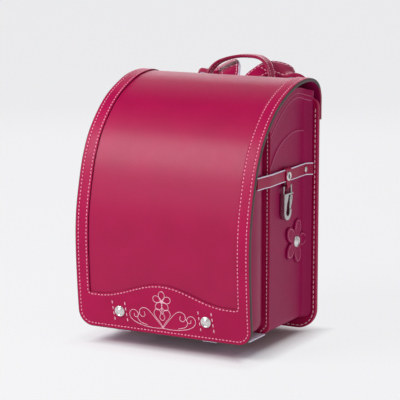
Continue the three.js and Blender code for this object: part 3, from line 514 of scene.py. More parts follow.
def stitch_tree():
    """Geometry nodes that lay a row of stitches along each edge line of a mesh."""
    name = "Stitch row"
    if name in bpy.data.node_groups:
        return bpy.data.node_groups[name]
    tree = bpy.data.node_groups.new(name, "GeometryNodeTree")
    sockets = tree.interface.new_socket
    sockets("Geometry", in_out="INPUT", socket_type="NodeSocketGeometry")
    for label, kind, value in (
        ("Pitch", "NodeSocketFloat", 0.005),
        ("Length", "NodeSocketFloat", 0.0036),
        ("Thread", "NodeSocketFloat", 0.0012),
        ("Unevenness", "NodeSocketFloat", 0.05),
        ("Seed", "NodeSocketInt", 7),
        ("Material", "NodeSocketMaterial", None),
    ):
        made = sockets(label, in_out="INPUT", socket_type=kind)
        if value is not None:
            made.default_value = value
    sockets("Geometry", in_out="OUTPUT", socket_type="NodeSocketGeometry")
    nodes, links = tree.nodes, tree.links
    start, end = nodes.new("NodeGroupInput"), nodes.new("NodeGroupOutput")
    curve = nodes.new("GeometryNodeMeshToCurve")
    spread = nodes.new("GeometryNodeResampleCurve")
    spread.mode = "LENGTH"
    spread.keep_last_segment = True
    grain = nodes.new("GeometryNodeMeshUVSphere")
    grain.inputs["Segments"].default_value = 8
    grain.inputs["Rings"].default_value = 6
    grain.inputs["Radius"].default_value = 1.0
    tangent = nodes.new("GeometryNodeInputTangent")
    turn = nodes.new("FunctionNodeAlignRotationToVector")
    turn.axis = "Z"
    uneven = nodes.new("FunctionNodeRandomValue")
    uneven.data_type = "FLOAT"
    low, high = nodes.new("ShaderNodeMath"), nodes.new("ShaderNodeMath")
    low.operation, high.operation = "SUBTRACT", "ADD"
    low.inputs[0].default_value = high.inputs[0].default_value = 1.0
    half = [nodes.new("ShaderNodeMath") for _ in range(3)]
    for node in half:
        node.operation = "MULTIPLY"
        node.inputs[1].default_value = 0.5
    size = nodes.new("ShaderNodeCombineXYZ")
    place = nodes.new("GeometryNodeInstanceOnPoints")
    smooth = nodes.new("GeometryNodeSetShadeSmooth")
    real = nodes.new("GeometryNodeRealizeInstances")
    paint = nodes.new("GeometryNodeSetMaterial")
    links.new(start.outputs["Geometry"], curve.inputs["Mesh"])
    links.new(curve.outputs["Curve"], spread.inputs["Curve"])
    links.new(start.outputs["Pitch"], spread.inputs["Length"])
    links.new(spread.outputs["Curve"], place.inputs["Points"])
    links.new(grain.outputs["Mesh"], place.inputs["Instance"])
    links.new(tangent.outputs[0], turn.inputs["Vector"])
    links.new(turn.outputs["Rotation"], place.inputs["Rotation"])
    links.new(start.outputs["Unevenness"], low.inputs[1])
    links.new(start.outputs["Unevenness"], high.inputs[1])
    floats = [s for s in uneven.inputs if s.type == "VALUE"]
    links.new(low.outputs[0], floats[0])
    links.new(high.outputs[0], floats[1])
    links.new(start.outputs["Seed"], uneven.inputs["Seed"])
    links.new(start.outputs["Length"], half[0].inputs[0])
    links.new(start.outputs["Thread"], half[1].inputs[0])
    links.new(half[0].outputs[0], half[2].inputs[0])
    links.new([s for s in uneven.outputs if s.type == "VALUE"][0], half[2].inputs[1])
    links.new(half[1].outputs[0], size.inputs["X"])
    links.new(half[1].outputs[0], size.inputs["Y"])
    links.new(half[2].outputs[0], size.inputs["Z"])
    links.new(size.outputs[0], place.inputs["Scale"])
    links.new(place.outputs["Instances"], smooth.inputs["Geometry"])
    links.new(smooth.outputs["Geometry"], real.inputs["Geometry"])
    links.new(real.outputs["Geometry"], paint.inputs["Geometry"])
    links.new(start.outputs["Material"], paint.inputs["Material"])
    links.new(paint.outputs["Geometry"], end.inputs["Geometry"])
    return tree


def stitch(name, rows, material, body="bag", pitch=None, length=None, thread=None):
    """Lays stitches along rows of points in mm, as one plain mesh that rides on a body."""
    own = stitches()
    points, edges = [], []
    for row in rows:
        row = resample(row, step=0.8)
        first = len(points)
        points += to_frame(row).tolist()
        edges += [(k, k + 1) for k in range(first, len(points) - 1)]
    guide = bpy.data.meshes.new(name + "_rows")
    guide.from_pydata(points, edges, [])
    holder = bpy.data.objects.new(name + "_rows", guide)
    bpy.context.scene.collection.objects.link(holder)
    tree = stitch_tree()
    modifier = holder.modifiers.new("Stitches", "NODES")
    modifier.node_group = tree
    values = {
        "Pitch": pitch or own.pitch,
        "Length": length or own.length,
        "Thread": thread or own.thread,
        "Unevenness": 0.06,
        "Seed": own.seed,
        "Material": material,
    }
    for item in tree.interface.items_tree:
        if item.item_type == "SOCKET" and item.in_out == "INPUT" and item.name in values:
            modifier[item.identifier] = values[item.name]
    bpy.context.view_layer.update()
    graph = bpy.context.evaluated_depsgraph_get()
    mesh = bpy.data.meshes.new_from_object(holder.evaluated_get(graph), depsgraph=graph)
    holder.modifiers.clear()
    bpy.data.objects.remove(holder)
    if not len(mesh.polygons):
        raise RuntimeError(name + " has no stitches")
    mesh.name = name
    return finished(name, mesh, body)


# ---------------------------------------------------------------- materials


def shader_group(name, inputs, outputs):
    """An empty shader node group with named sockets."""
    group = bpy.data.node_groups.new(name, "ShaderNodeTree")
    for label, kind, value in inputs:
        made = group.interface.new_socket(label, in_out="INPUT", socket_type=kind)
        if value is not None:
            made.default_value = value
    for label, kind in outputs:
        group.interface.new_socket(label, in_out="OUTPUT", socket_type=kind)
    return group, group.nodes.new("NodeGroupInput"), group.nodes.new("NodeGroupOutput")


def leather_grain():
    """Fine pores and soft unevenness: a height for bump and a tone for colour and gloss."""
    if "Leather grain" in bpy.data.node_groups:
        return bpy.data.node_groups["Leather grain"]
    group, start, end = shader_group(
        "Leather grain",
        [("Vector", "NodeSocketVector", None), ("Grain", "NodeSocketFloat", 1500.0),
         ("Waves", "NodeSocketFloat", 26.0), ("Pores", "NodeSocketFloat", 0.6)],
        [("Height", "NodeSocketFloat"), ("Tone", "NodeSocketFloat"), ("Scuff", "NodeSocketFloat")],
    )
    nodes, links = group.nodes, group.links
    cells = nodes.new("ShaderNodeTexVoronoi")
    cells.feature = "SMOOTH_F1"
    cells.inputs["Smoothness"].default_value = 0.4
    fine = nodes.new("ShaderNodeTexNoise")
    fine.inputs["Detail"].default_value = 3.0
    broad = nodes.new("ShaderNodeTexNoise")
    broad.inputs["Detail"].default_value = 2.0
    wear = nodes.new("ShaderNodeTexNoise")
    wear.inputs["Scale"].default_value = 90.0
    wear.inputs["Detail"].default_value = 5.0
    twice = nodes.new("ShaderNodeMath")
    twice.operation, twice.inputs[1].default_value = "MULTIPLY", 0.45
    for node in (cells, fine, broad, wear):
        links.new(start.outputs["Vector"], node.inputs["Vector"])
    links.new(start.outputs["Grain"], cells.inputs["Scale"])
    links.new(start.outputs["Grain"], twice.inputs[0])
    links.new(twice.outputs[0], fine.inputs["Scale"])
    links.new(start.outputs["Waves"], broad.inputs["Scale"])
    pores = nodes.new("ShaderNodeMath")
    pores.operation = "MULTIPLY"
    both = nodes.new("ShaderNodeMath")
    both.operation = "ADD"
    links.new(cells.outputs["Distance"], pores.inputs[0])
    links.new(start.outputs["Pores"], pores.inputs[1])
    links.new(pores.outputs[0], both.inputs[0])
    links.new(fine.outputs["Fac"], both.inputs[1])
    links.new(both.outputs[0], end.inputs["Height"])
    links.new(broad.outputs["Fac"], end.inputs["Tone"])
    links.new(wear.outputs["Fac"], end.inputs["Scuff"])
    return group


def fine_scratches():
    """Brushed marks and dullness for plated metal."""
    if "Plate marks" in bpy.data.node_groups:
        return bpy.data.node_groups["Plate marks"]
    group, start, end = shader_group(
        "Plate marks",
        [("Vector", "NodeSocketVector", None), ("Scale", "NodeSocketFloat", 300.0)],
        [("Height", "NodeSocketFloat"), ("Tone", "NodeSocketFloat")],
    )
    nodes, links = group.nodes, group.links
    stretch = nodes.new("ShaderNodeVectorMath")
    stretch.operation = "MULTIPLY"
    stretch.inputs[1].default_value = (1.0, 1.0, 6.0)
    marks = nodes.new("ShaderNodeTexNoise")
    marks.inputs["Detail"].default_value = 6.0
    marks.inputs["Roughness"].default_value = 0.7
    dull = nodes.new("ShaderNodeTexNoise")
    dull.inputs["Scale"].default_value = 120.0
    links.new(start.outputs["Vector"], stretch.inputs[0])
    links.new(stretch.outputs[0], marks.inputs["Vector"])
    links.new(start.outputs["Scale"], marks.inputs["Scale"])
    links.new(start.outputs["Vector"], dull.inputs["Vector"])
    links.new(marks.outputs["Fac"], end.inputs["Height"])
    links.new(dull.outputs["Fac"], end.inputs["Tone"])
    return group


def bare_material(name):
    """A material with one Principled shader and nothing else."""
    material = bpy.data.materials.new(name)
    material.use_nodes = True
    nodes = material.node_tree.nodes
    nodes.clear()
    out = nodes.new("ShaderNodeOutputMaterial")
    shader = nodes.new("ShaderNodeBsdfPrincipled")
    material.node_tree.links.new(shader.outputs["BSDF"], out.inputs["Surface"])
    return material, shader


def ranged(tree, source, low, high, from_low=0.0, from_high=1.0):
    node = tree.nodes.new("ShaderNodeMapRange")
    node.inputs["From Min"].default_value = from_low
    node.inputs["From Max"].default_value = from_high
    node.inputs["To Min"].default_value = low
    node.inputs["To Max"].default_value = high
    tree.links.new(source, node.inputs["Value"])
    return node.outputs["Result"]


def blended(tree, factor, first, second):
    node = tree.nodes.new("ShaderNodeMix")
    node.data_type = "RGBA"
    tree.links.new(factor, node.inputs["Factor"])
    node.inputs["A"].default_value = first
    node.inputs["B"].default_value = second
    return [s for s in node.outputs if s.type == "RGBA"][0]


def shade(colour, share):
    return tuple(min(1.0, c * share) for c in colour[:3]) + (1.0,)


def leather(name, colour, gloss, grain, depth, pores, spread, specular):
    """Smooth finished leather: fine pores, soft unevenness in tone, and slightly uneven gloss."""
    material, shader = bare_material(name)
    tree = material.node_tree
    place = tree.nodes.new("ShaderNodeTexCoord")
    texture = tree.nodes.new("ShaderNodeGroup")
    texture.node_tree = leather_grain()
    texture.inputs["Grain"].default_value = grain
    texture.inputs["Pores"].default_value = pores
    tree.links.new(place.outputs["Object"], texture.inputs["Vector"])
    tone = ranged(tree, texture.outputs["Tone"], 0.0, 1.0, 0.3, 0.7)
    tree.links.new(
        blended(tree, tone, shade(colour, 1 - spread), shade(colour, 1 + spread)), shader.inputs["Base Color"]
    )
    tree.links.new(
        ranged(tree, texture.outputs["Scuff"], gloss - 0.015, gloss + 0.02, 0.3, 0.7), shader.inputs["Roughness"]
    )
    bump = tree.nodes.new("ShaderNodeBump")
    bump.inputs["Strength"].default_value = 0.35
    bump.inputs["Distance"].default_value = depth / 1000
    tree.links.new(texture.outputs["Height"], bump.inputs["Height"])
    tree.links.new(bump.outputs["Normal"], shader.inputs["Normal"])
    shader.inputs["Specular IOR Level"].default_value = specular
    return material


def plated(name, colour, gloss):
    """Plated metal with fine marks."""
    material, shader = bare_material(name)
    tree = material.node_tree
    place = tree.nodes.new("ShaderNodeTexCoord")
    texture = tree.nodes.new("ShaderNodeGroup")
    texture.node_tree = fine_scratches()
    tree.links.new(place.outputs["Object"], texture.inputs["Vector"])
    tree.links.new(blended(tree, texture.outputs["Tone"], shade(colour, 0.82), shade(colour, 1.1)),
                   shader.inputs["Base Color"])
    tree.links.new(
        ranged(tree, texture.outputs["Height"], gloss - 0.07, gloss + 0.09, 0.3, 0.7), shader.inputs["Roughness"]
    )
    bump = tree.nodes.new("ShaderNodeBump")
    bump.inputs["Strength"].default_value = 0.1
    bump.inputs["Distance"].default_value = 0.00002
    tree.links.new(texture.outputs["Height"], bump.inputs["Height"])
    tree.links.new(bump.outputs["Normal"], shader.inputs["Normal"])
    shader.inputs["Metallic"].default_value = 1.0
    return material


def spun(name, colour):
    """Twisted polyester thread with a soft sheen."""
    material, shader = bare_material(name)
    tree = material.node_tree
    place = tree.nodes.new("ShaderNodeTexCoord")
    twist = tree.nodes.new("ShaderNodeTexWave")
    twist.bands_direction = "DIAGONAL"
    twist.inputs["Scale"].default_value = 900.0
    twist.inputs["Distortion"].default_value = 1.5
    tree.links.new(place.outputs["Object"], twist.inputs["Vector"])
    tree.links.new(
        blended(tree, twist.outputs["Fac"], shade(colour, 0.8), shade(colour, 1.12)), shader.inputs["Base Color"]
    )
    tree.links.new(ranged(tree, twist.outputs["Fac"], 0.45, 0.62), shader.inputs["Roughness"])
    bump = tree.nodes.new("ShaderNodeBump")
    bump.inputs["Strength"].default_value = 0.5
    bump.inputs["Distance"].default_value = 0.0001
    tree.links.new(twist.outputs["Fac"], bump.inputs["Height"])
    tree.links.new(bump.outputs["Normal"], shader.inputs["Normal"])
    shader.inputs["Sheen Weight"].default_value = 0.25
    return material


LOOKS = {}


def look(key):
    """A finish of the ransel by its plain name, made once."""
    if key not in LOOKS:
        c = colours()
        make = {
            "flap": lambda: leather("Flap leather", c.flap, 0.42, 1700, 0.04, 0.5, 0.05, 0.26),
            "border": lambda: leather("Border leather", shade(c.flap, 1.06), 0.44, 1400, 0.06, 0.8, 0.07, 0.18),
            "side": lambda: leather("Side leather", c.side, 0.42, 1400, 0.05, 0.6, 0.05, 0.15),
            # painted highlight: the side panel's pressed lines are paler than its leather, standing for the
            # light they catch
            "line": lambda: leather("Line ridge painted highlight", (0.5, 0.11, 0.21), 0.45, 1300, 0.05, 0.6, 0.05, 0.25),
            "fold": lambda: leather("Pocket leather", c.side, 0.34, 1400, 0.03, 0.2, 0.05, 0.24),
            "strap": lambda: leather("Strap leather", c.strap, 0.42, 1300, 0.07, 0.9, 0.08, 0.25),
            "edge": lambda: leather("Edge paint", c.edge, 0.5, 900, 0.08, 0.5, 0.15, 0.4),
            "rim": lambda: leather("Rolled rim leather", shade(c.strap, 0.8), 0.34, 1300, 0.05, 0.6, 0.08, 0.3),
            # a dark copy of the flap's colour: the border's dark window edge, with a painted shadow of the gap
            # under it
            "seam": lambda: leather("Seam shadow", shade(c.flap, 0.3), 0.55, 900, 0.08, 0.5, 0.15, 0.2),
            "lining": lambda: leather("Lining", c.lining, 0.62, 1100, 0.08, 1.1, 0.05, 0.3),
            "piping": lambda: leather("Piping", shade(c.lining, 1.15), 0.5, 1100, 0.05, 0.8, 0.05, 0.3),
            "pad": lambda: leather("Back pad leather", c.pad, 0.55, 1100, 0.08, 1.0, 0.05, 0.3),
            # the hooks' and other fittings' metal is a darker copy of the plated colour; the darkening is
            # painted shade, standing in for dark reflections the even studio doesn't give
            "metal": lambda: plated("Plated metal", shade(c.metal, 0.72), 0.24),
            "stud": lambda: plated("Stud metal", shade(c.metal, 1.2), 0.32),
            "thread": lambda: spun("Seam thread", c.thread),
            "pale": lambda: spun("Pale thread", c.pale_thread),
        }[key]
        LOOKS[key] = make()
    return LOOKS[key]


# ---------------------------------------------------------------- flap

WINDOW_HALF = FLAP_HALF - BORDER_WIDTH
WAVE_BASE = FLOOR_GAP + 47.0
WAVE_RISE = 20.5
WAVE_HALF = 95.0
SIDE_COUNT, FAN_COUNT, WAVE_COUNT = 110, 30, 110
BLOSSOM_Z = 67.5  # the middle of the embroidered flower


def wave_run(x):
    rise = WAVE_RISE * (1 + np.cos(math.pi * np.clip(np.asarray(x, float) / WAVE_HALF, -1, 1))) / 2
    return flap_run_at(WAVE_BASE + rise)


def mirrored(points):
    """Adds the other half of a path that is symmetric across X, whose last point is on its middle line."""
    return np.vstack([points, points[:-1][::-1] * (-1, 1)])


def window_rail(offset, radius=2.2):
    """The window's outline on the flap's unrolled sheet, moved into the border by an offset."""
    low = float(wave_run(WINDOW_HALF))
    side = np.column_stack([np.full(SIDE_COUNT, WINDOW_HALF + offset),
                            np.linspace(FLAP_LENGTH, low + radius, SIDE_COUNT)])
    turn = arc(WINDOW_HALF - radius, low + radius, radius + offset, 0, -90, FAN_COUNT)[1:]
    x = np.linspace(WINDOW_HALF - radius, 0, WAVE_COUNT)[1:]
    run = wave_run(x)
    slope = np.gradient(run, x)
    norm = np.hypot(slope, 1)
    wave = np.column_stack([x + offset * slope / norm, run - offset / norm])
    wave[-1, 0] = 0
    return mirrored(np.vstack([side, turn, wave]))


def outline_rail(offset, radius=2.2):
    """The flap's outline on its unrolled sheet, moved inwards by an offset, in step with window_rail."""
    low = float(wave_run(WINDOW_HALF))
    half, corner = FLAP_HALF - offset, FLAP_CORNER - offset
    side = np.column_stack([np.full(SIDE_COUNT, half), np.linspace(FLAP_LENGTH, low + radius, SIDE_COUNT)])
    bend = arc(FLAP_HALF - FLAP_CORNER, FLAP_CORNER, corner, 0, -90, 24)
    turn = resample(np.vstack([side[-1:], bend, [(WINDOW_HALF - radius, offset)]]), count=FAN_COUNT)[1:]
    x = np.linspace(WINDOW_HALF - radius, 0, WAVE_COUNT)[1:]
    base = np.column_stack([x, np.full(len(x), offset)])
    return mirrored(np.vstack([side, turn, base]))


def flap_rows():
    """The border's two seam rows, as points on the flap."""
    outer, inner = outline_rail(4.3), window_rail(2.6)
    return [flap_at(rail[:, 0], rail[:, 1], 0.12)[3:-3] for rail in (outer, inner)]


def make_flap_panel():
    """The smooth panel with its lining."""
    corner = FLAP_CORNER * (1 - np.cos(np.linspace(0, math.pi / 2, 10)))
    runs = np.unique(np.r_[corner, np.linspace(FLAP_CORNER, FLAP_LENGTH, 170)])
    loops = []
    for run in runs:
        half = flap_half_at(run) - 0.2
        x = np.linspace(-half, half, 41)
        loops.append(np.vstack([flap_at(x, run, BORDER_THICK + GAP), flap_at(x[::-1], run, FLAP_THICK - 0.1)]))
    looks = [0] * 40 + [1] + [2] * 40 + [1]
    built("flap_panel_leather", [skin(loops, looks, ends=1)], [look("flap"), look("edge"), look("side")], 50,
          ("flap_panel",))


def make_flap_border():
    """The raised border: rounded edges, two pressed grooves and a wave along its window."""
    profile = [("window", d, i) for d,
               i in ((0, 1.45), (0, 0.75), (0.14, 0.3), (0.5, 0.06), (1.0, 0), (1.9, 0), (2.3, 0.2), (2.6, 0.36),
                     (2.9, 0.2), (3.3, 0), (4.4, -0.06))]
    profile += [("middle", t, -0.1) for t in (0.25, 0.5, 0.75)]
    profile += [("outline", d, i) for d,
                i in ((6.2, -0.06), (5.0, 0), (4.6, 0.2), (4.3, 0.36), (4.0, 0.2), (3.6, 0), (1.8, 0),
                      (0.9, 0.05), (0.35, 0.22), (0, 0.7), (0, 1.45))]
    last, first = window_rail(4.4), outline_rail(6.2)
    rails = []
    for kind, d, inset in profile:
        rail = {
            "window": lambda: window_rail(d),
            "outline": lambda: outline_rail(d),
            "middle": lambda: last + (first - last) * d,
        }[kind]()
        rails.append(flap_at(rail[:, 0], rail[:, 1], inset))
    loops = np.stack(rails, axis=1)
    # the window's edge and the outer edge take the dark seam colour, partly painted shadow
    looks = [1, 1] + [0] * (len(profile) - 4) + [1, 0]
    built("flap_border_leather", [skin(loops, looks)], [look("border"), look("seam")], 60, ("flap_border",))


def make_flap_edge():
    """The painted edge that closes the flap's layers."""
    bead = ((-0.6, 0.3), (0.25, 0.32), (0.62, 0.8), (0.85, 1.8), (0.9, 2.6), (0.85, 3.5), (0.6, 4.4),
            (0.2, 4.85), (-0.6, 4.9))
    loops = np.stack([flap_at(rail[:, 0], rail[:, 1], inset) for rail,
                      inset in ((outline_rail(-o), i) for o, i in bead)], axis=1)
    mesh = solid_mesh("flap_painted_edge", [skin(loops)], [look("edge"), look("rim")])
    for face in mesh.polygons:
        middle = 1000 * face.center + Vector((0, SHIFT_Y, 0))
        face.material_index = int(middle.y > BOARD_FRONT and middle.z < RIM_TOP)
    finished("flap_painted_edge", keep_edges(mesh, 60), "bag")


def scroll(points, mirror=False):
    """A smooth embroidered line on the flap's border through (X, Z) points."""
    p = uniform_spline(points, 14)
    if mirror:
        p = p * (-1, 1)
    return flap_at(p[:, 0], flap_run_at(p[:, 1]), -0.2)


def embroidery_lines():
    """A five-petalled flower over a heart and four scrolls."""
    lines = []
    for k in range(5):
        a = math.radians(90 + 72 * k)
        turn = np.linspace(0, 2 * math.pi, 40)
        out = 7.4 + 6.0 * np.cos(turn)
        wide = 4.4 * np.sin(turn) * (1.0 + 0.12 * np.cos(turn))
        x = out * math.cos(a) - wide * math.sin(a)
        z = BLOSSOM_Z + out * math.sin(a) + wide * math.cos(a)
        lines.append(flap_at(x, flap_run_at(z), -0.2))
    outer = [(0, 31.5), (12, 30.6), (27, 31.8), (40, 35.5), (47.5, 41), (48.8, 47.5), (44.5, 52), (39, 51.2),
             (36.2, 47), (37.6, 43), (41.5, 43.2), (42, 46.4)]
    inner = [(0, 32), (6, 39), (13, 47), (20, 54), (27, 56.5), (33, 53.5), (34, 47.5), (30, 44), (26, 46),
             (26.5, 50)]
    heart = [(0, 33), (4.5, 40), (10, 46), (12, 52), (8.5, 57), (3.5, 55.5), (0, 51)]
    for points in (outer, inner, heart):
        lines += [scroll(points), scroll(points, mirror=True)]
    lines.append(scroll([(0, 58), (2.6, 50), (3.6, 45.5), (0, 42), (-3.6, 45.5), (-2.6, 50), (0, 58)]))
    tendril = [(34, 49), (37, 42), (33, 36.5), (24, 33.5)]
    lines += [scroll(tendril), scroll(tendril, mirror=True)]
    return lines


class RANSEL_OT_flap(bpy.types.Operator):
    """Builds the flap: panel, border, painted edge and seams"""

    bl_idname = "ransel.flap"
    bl_label = "Flap"

    def execute(self, context):
        make_flap_panel()
        make_flap_border()
        make_flap_edge()
        stitch("flap_seams", flap_rows(), look("thread"))
        tail = [flap_at(np.linspace(-104, 104, 80), FLAP_LENGTH - 4.0, 1.5)]
        stitch("flap_tail_seam", tail, look("thread"))
        return {"FINISHED"}


class RANSEL_OT_embroidery(bpy.types.Operator):
    """Sews the flower, the scrolls and the short rows beside the rivets"""

    bl_idname = "ransel.embroidery"
    bl_label = "Embroidery"

    def execute(self, context):
        thread = stitches().embroidery
        stitch("flap_embroidery", embroidery_lines(), look("pale"), pitch=0.0017, length=0.0026,
               thread=thread)
        knots = []
        for k in range(6):
            a = math.radians(15 + 60 * k)
            end = (1.9 * math.cos(a), BLOSSOM_Z + 1.9 * math.sin(a))
            knots.append(flap_at([0, end[0]], flap_run_at(np.array([BLOSSOM_Z, end[1]])), -0.35))
        stitch("flap_embroidery_centre", knots, look("pale"), pitch=0.0009, length=0.0024,
               thread=0.0016)
        rows = []
        for side in (-1, 1):
            for off in (-9.6, 9.6):
                z = np.linspace(RIVET_Z - 11, RIVET_Z + 11, 20)
                rows.append(flap_at(side * RIVET_X + off + 0.12 * (RIVET_Z - z), flap_run_at(z), 0.0))
        stitch("flap_rivet_seams", rows, look("pale"), pitch=0.0057, length=0.0045,
               thread=0.0015)
        return {"FINISHED"}


# ---------------------------------------------------------------- fittings that are turned


def rivet(name, node, at, axis, radius, height, material, ringed=False):
    """A domed rivet, with a pressed ring where the real one has it."""
    profile = [(0, -0.3), (radius, -0.3), (radius, 0.25 * height), (radius * 0.97, 0.5 * height)]
    if ringed:
        profile += [(radius * 0.9, 0.72 * height), (radius * 0.76, 0.86 * height),
                    (radius * 0.68, 0.62 * height), (radius * 0.6, 0.56 * height),
                    (radius * 0.53, 0.66 * height), (radius * 0.46, 0.9 * height), (radius * 0.25, height),
                    (0, height * 1.02)]
    else:
        steps = np.radians((25, 40, 55, 70, 82))
        profile += [(radius * math.cos(a), height * (0.4 + 0.6 * math.sin(a))) for a in steps]
        profile += [(0, height)]
    built(name, [lathe(profile, axis, at)], [material], 55, (node,))


class RANSEL_OT_rivets(bpy.types.Operator):
    """Turns the rivets and studs"""

    bl_idname = "ransel.rivets"
    bl_label = "Rivets and studs"

    def execute(self, context):
        run = float(flap_run_at(RIVET_Z))
        seat, above = flap_at(0, run, 0), flap_at(0, run, -1)
        axis = (above - seat) / np.linalg.norm(above - seat)
        for side, sign in (("left", -1), ("right", 1)):
            rivet("flap_rivet_cap_" + side, "flap_rivet_" + side, seat + (sign * RIVET_X, 0, 0), axis, 7.5, 2.7,
                  look("stud"), ringed=True)
            lo, hi = (1000 * np.array(v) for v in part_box("flower_stud_" + side))
            foot = lo[0] if sign > 0 else hi[0]
            rivet("flower_stud_cap_" + side, "flower_stud_" + side, (foot, FLOWER_Y, FLOWER_Z), (sign, 0, 0),
                  7.8, 2.5, look("stud"), ringed=True)
            lo, hi = (1000 * np.array(v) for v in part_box("side_belt_rivet_" + side))
            middle = (lo + hi) / 2 + (0, SHIFT_Y, 0)
            middle[0] = lo[0] if sign > 0 else hi[0]
            rivet("side_belt_rivet_cap_" + side, "side_belt_rivet_" + side, middle, (sign, 0, 0), 4, 1.6,
                  look("stud"))
        return {"FINISHED"}


# ---------------------------------------------------------------- body


def u_path(half, bottom, top, radius, side=70, turn=12, base=50):
    """The body's outline from the front: (X, Z) from the right side's top round to the left side's top."""
    return np.vstack(
        [
            np.column_stack([np.full(side, half), np.linspace(top, bottom + radius, side)]),
            arc(half - radius, bottom + radius, radius, 0, -90, turn)[1:-1],
            np.column_stack([np.linspace(half - radius, -half + radius, base), np.full(base, bottom)]),
            arc(-half + radius, bottom + radius, radius, 270, 180, turn)[1:-1],
            np.column_stack([np.full(side, -half), np.linspace(bottom + radius, top, side)]),
        ]
    )


SIDE_TOP = uniform_spline(
    [
        (MAIN_FRONT + depth * 117, FLOOR_GAP + height * FLAP_HEIGHT)
        for depth, height in ((0, 0.822), (0.2, 0.885), (0.45, 0.94), (0.68, 0.963), (0.85, 0.958), (1, 0.942))
    ]
)
CREASE = uniform_spline([(74, 232), (84, 247.5), (98, 261), (115, 270.5), (131, 276), (148, 279), (166, 278.5),
                         (176, 277)])


HEM_HIGH, HEM_LOW = 7.5, 13.0  # the hems, below the side panel's top edge


def side_top(y):
    return np.interp(y, SIDE_TOP[:, 0], SIDE_TOP[:, 1])


def flare(y):
    """How far the side panel turns out towards the back border."""
    return 8.0 * np.clip((np.asarray(y, float) - 174) / 12.5, 0, 1) ** 2.2


def gauss(d, width):
    return np.exp(-((d / width) ** 2))


def side_relief(y, z):
    """The side panel's pressed lines: two hems under its top edge and the crease over the belt."""
    near = y + np.array([-1.0, 0.0, 1.0])
    slope = float(np.gradient(side_top(near))[1])
    under = (side_top(y) - z) / math.hypot(1, slope)
    relief = -0.55 * gauss(under - HEM_HIGH, 0.8) - 0.55 * gauss(under - HEM_LOW, 0.8)
    relief = relief + 0.35 * gauss(under - 10.2, 1.6)
    crease = np.interp(y, CREASE[:, 0], CREASE[:, 1])
    lean = float(np.gradient(np.interp(near, CREASE[:, 0], CREASE[:, 1]))[1])
    d = (z - crease) / math.hypot(1, lean)
    fade = smoothstep((y - 76) / 6) * (1 - smoothstep((y - 168) / 8))
    relief += fade * (0.75 * gauss(d, 1.5) - 0.35 * smoothstep(d / 3) * smoothstep((under - 14) / 6))
    return relief


def side_bow(y, z):
    """How far the slack panel draws in between its edges."""
    across = np.sin(math.pi * np.clip((y - 76) / 100, 0, 1))
    return -0.9 * across * np.sin(math.pi * np.clip((z - 30) / 290, 0, 1))


def make_side_lines():
    """Thin raised ridges along the side panel's two hems and its crease, paler than the side leather as a
    painted highlight.
    """
    parts = []
    for line, low in ((SIDE_TOP, HEM_HIGH), (SIDE_TOP, HEM_LOW), (CREASE, 0.0)):
        slope = np.gradient(line[:, 1], line[:, 0])
        ys, zs = line[:, 0], line[:, 1] - low * np.hypot(1, slope)
        keep = (ys > 75) & (ys < 186)
        ys, zs = ys[keep], zs[keep]
        out = [float(flare(y)) + float(side_relief(y, z)) + float(side_bow(y, z)) for y, z in zip(ys, zs)]
        xs = BODY_HALF + np.array(out)
        for sign in (-1, 1):
            parts.append(tube(np.column_stack([sign * (xs + 0.1), ys, zs]), 0.55))
    built("side_line_ridges_painted_highlight", parts, [look("line")], None)


def make_side_gusset():
    """Side panels and base in one, with pressed lines and a flare towards the back."""
    ys = np.unique(np.r_[np.linspace(73.3, 80, 8), np.linspace(80, 172, 60), np.linspace(172, 189.6, 20)])
    loops = []
    for y in ys:
        half = BODY_HALF + float(flare(y))
        top = float(side_top(y))
        outer = u_path(half, FLOOR_GAP, top, 10, side=200)
        inner = u_path(half - 2, FLOOR_GAP + 2, top, 8, side=200)[::-1]
        wall = np.abs(outer[:, 0]) > half - 0.01
        push = np.where(wall, side_relief(y, outer[:, 1]) + side_bow(y, outer[:, 1]), 0.0)
        outer = outer + np.column_stack([np.sign(outer[:, 0]) * push, np.zeros(len(outer))])
        path = np.vstack([outer, inner])
        loops.append(upright(path, y))
    built("side_gusset_leather", [skin(loops, paired=True)], [look("side")], 50, ("main_gusset",))


def plate_parts(loop, y0, y1, ease):
    """A flat board with eased edges, from a closed (X, Z) outline."""
    loop = np.asarray(loop, float)
    centre = loop.mean(axis=0)
    ahead, behind = np.roll(loop, -1, axis=0), np.roll(loop, 1, axis=0)
    t = ahead - behind
    t /= np.linalg.norm(t, axis=1)[:, None]
    inward = np.column_stack([t[:, 1], -t[:, 0]])
    if np.mean(np.sum(inward * (centre - loop), axis=1)) < 0:
        inward = -inward
    loops = []
    for d, y in ((ease, y0), (ease * 0.3, y0 + ease * 0.3), (0, y0 + ease), (0, y1 - ease),
                 (ease * 0.3, y1 - ease * 0.3), (ease, y1)):
        p = loop + inward * d
        loops.append(upright(p, y))
    return skin(loops)


def make_front_wall():
    """The main compartment's front wall, whose lip carries the pale seam beside the pocket."""
    loop = rounded_loop(-121.4, 121.4, FLOOR_GAP, 289.6, 13, 4)
    built("front_wall_leather", [plate_parts(loop, 70.6, 73.2, 0.9)], [look("border")], 50, ("front_wall",))
    rows = []
    for sign in (-1, 1):
        z = np.linspace(FLOOR_GAP + 5, 286, 80)
        x = 117.6 - 9 * smoothstep((FLOOR_GAP + 14 - z) / 12)
        rows.append(np.column_stack([sign * x, np.full(80, 70.45), z]))
    stitch("front_wall_seams", rows, look("pale"), pitch=0.0052, length=0.0038, thread=0.0012)


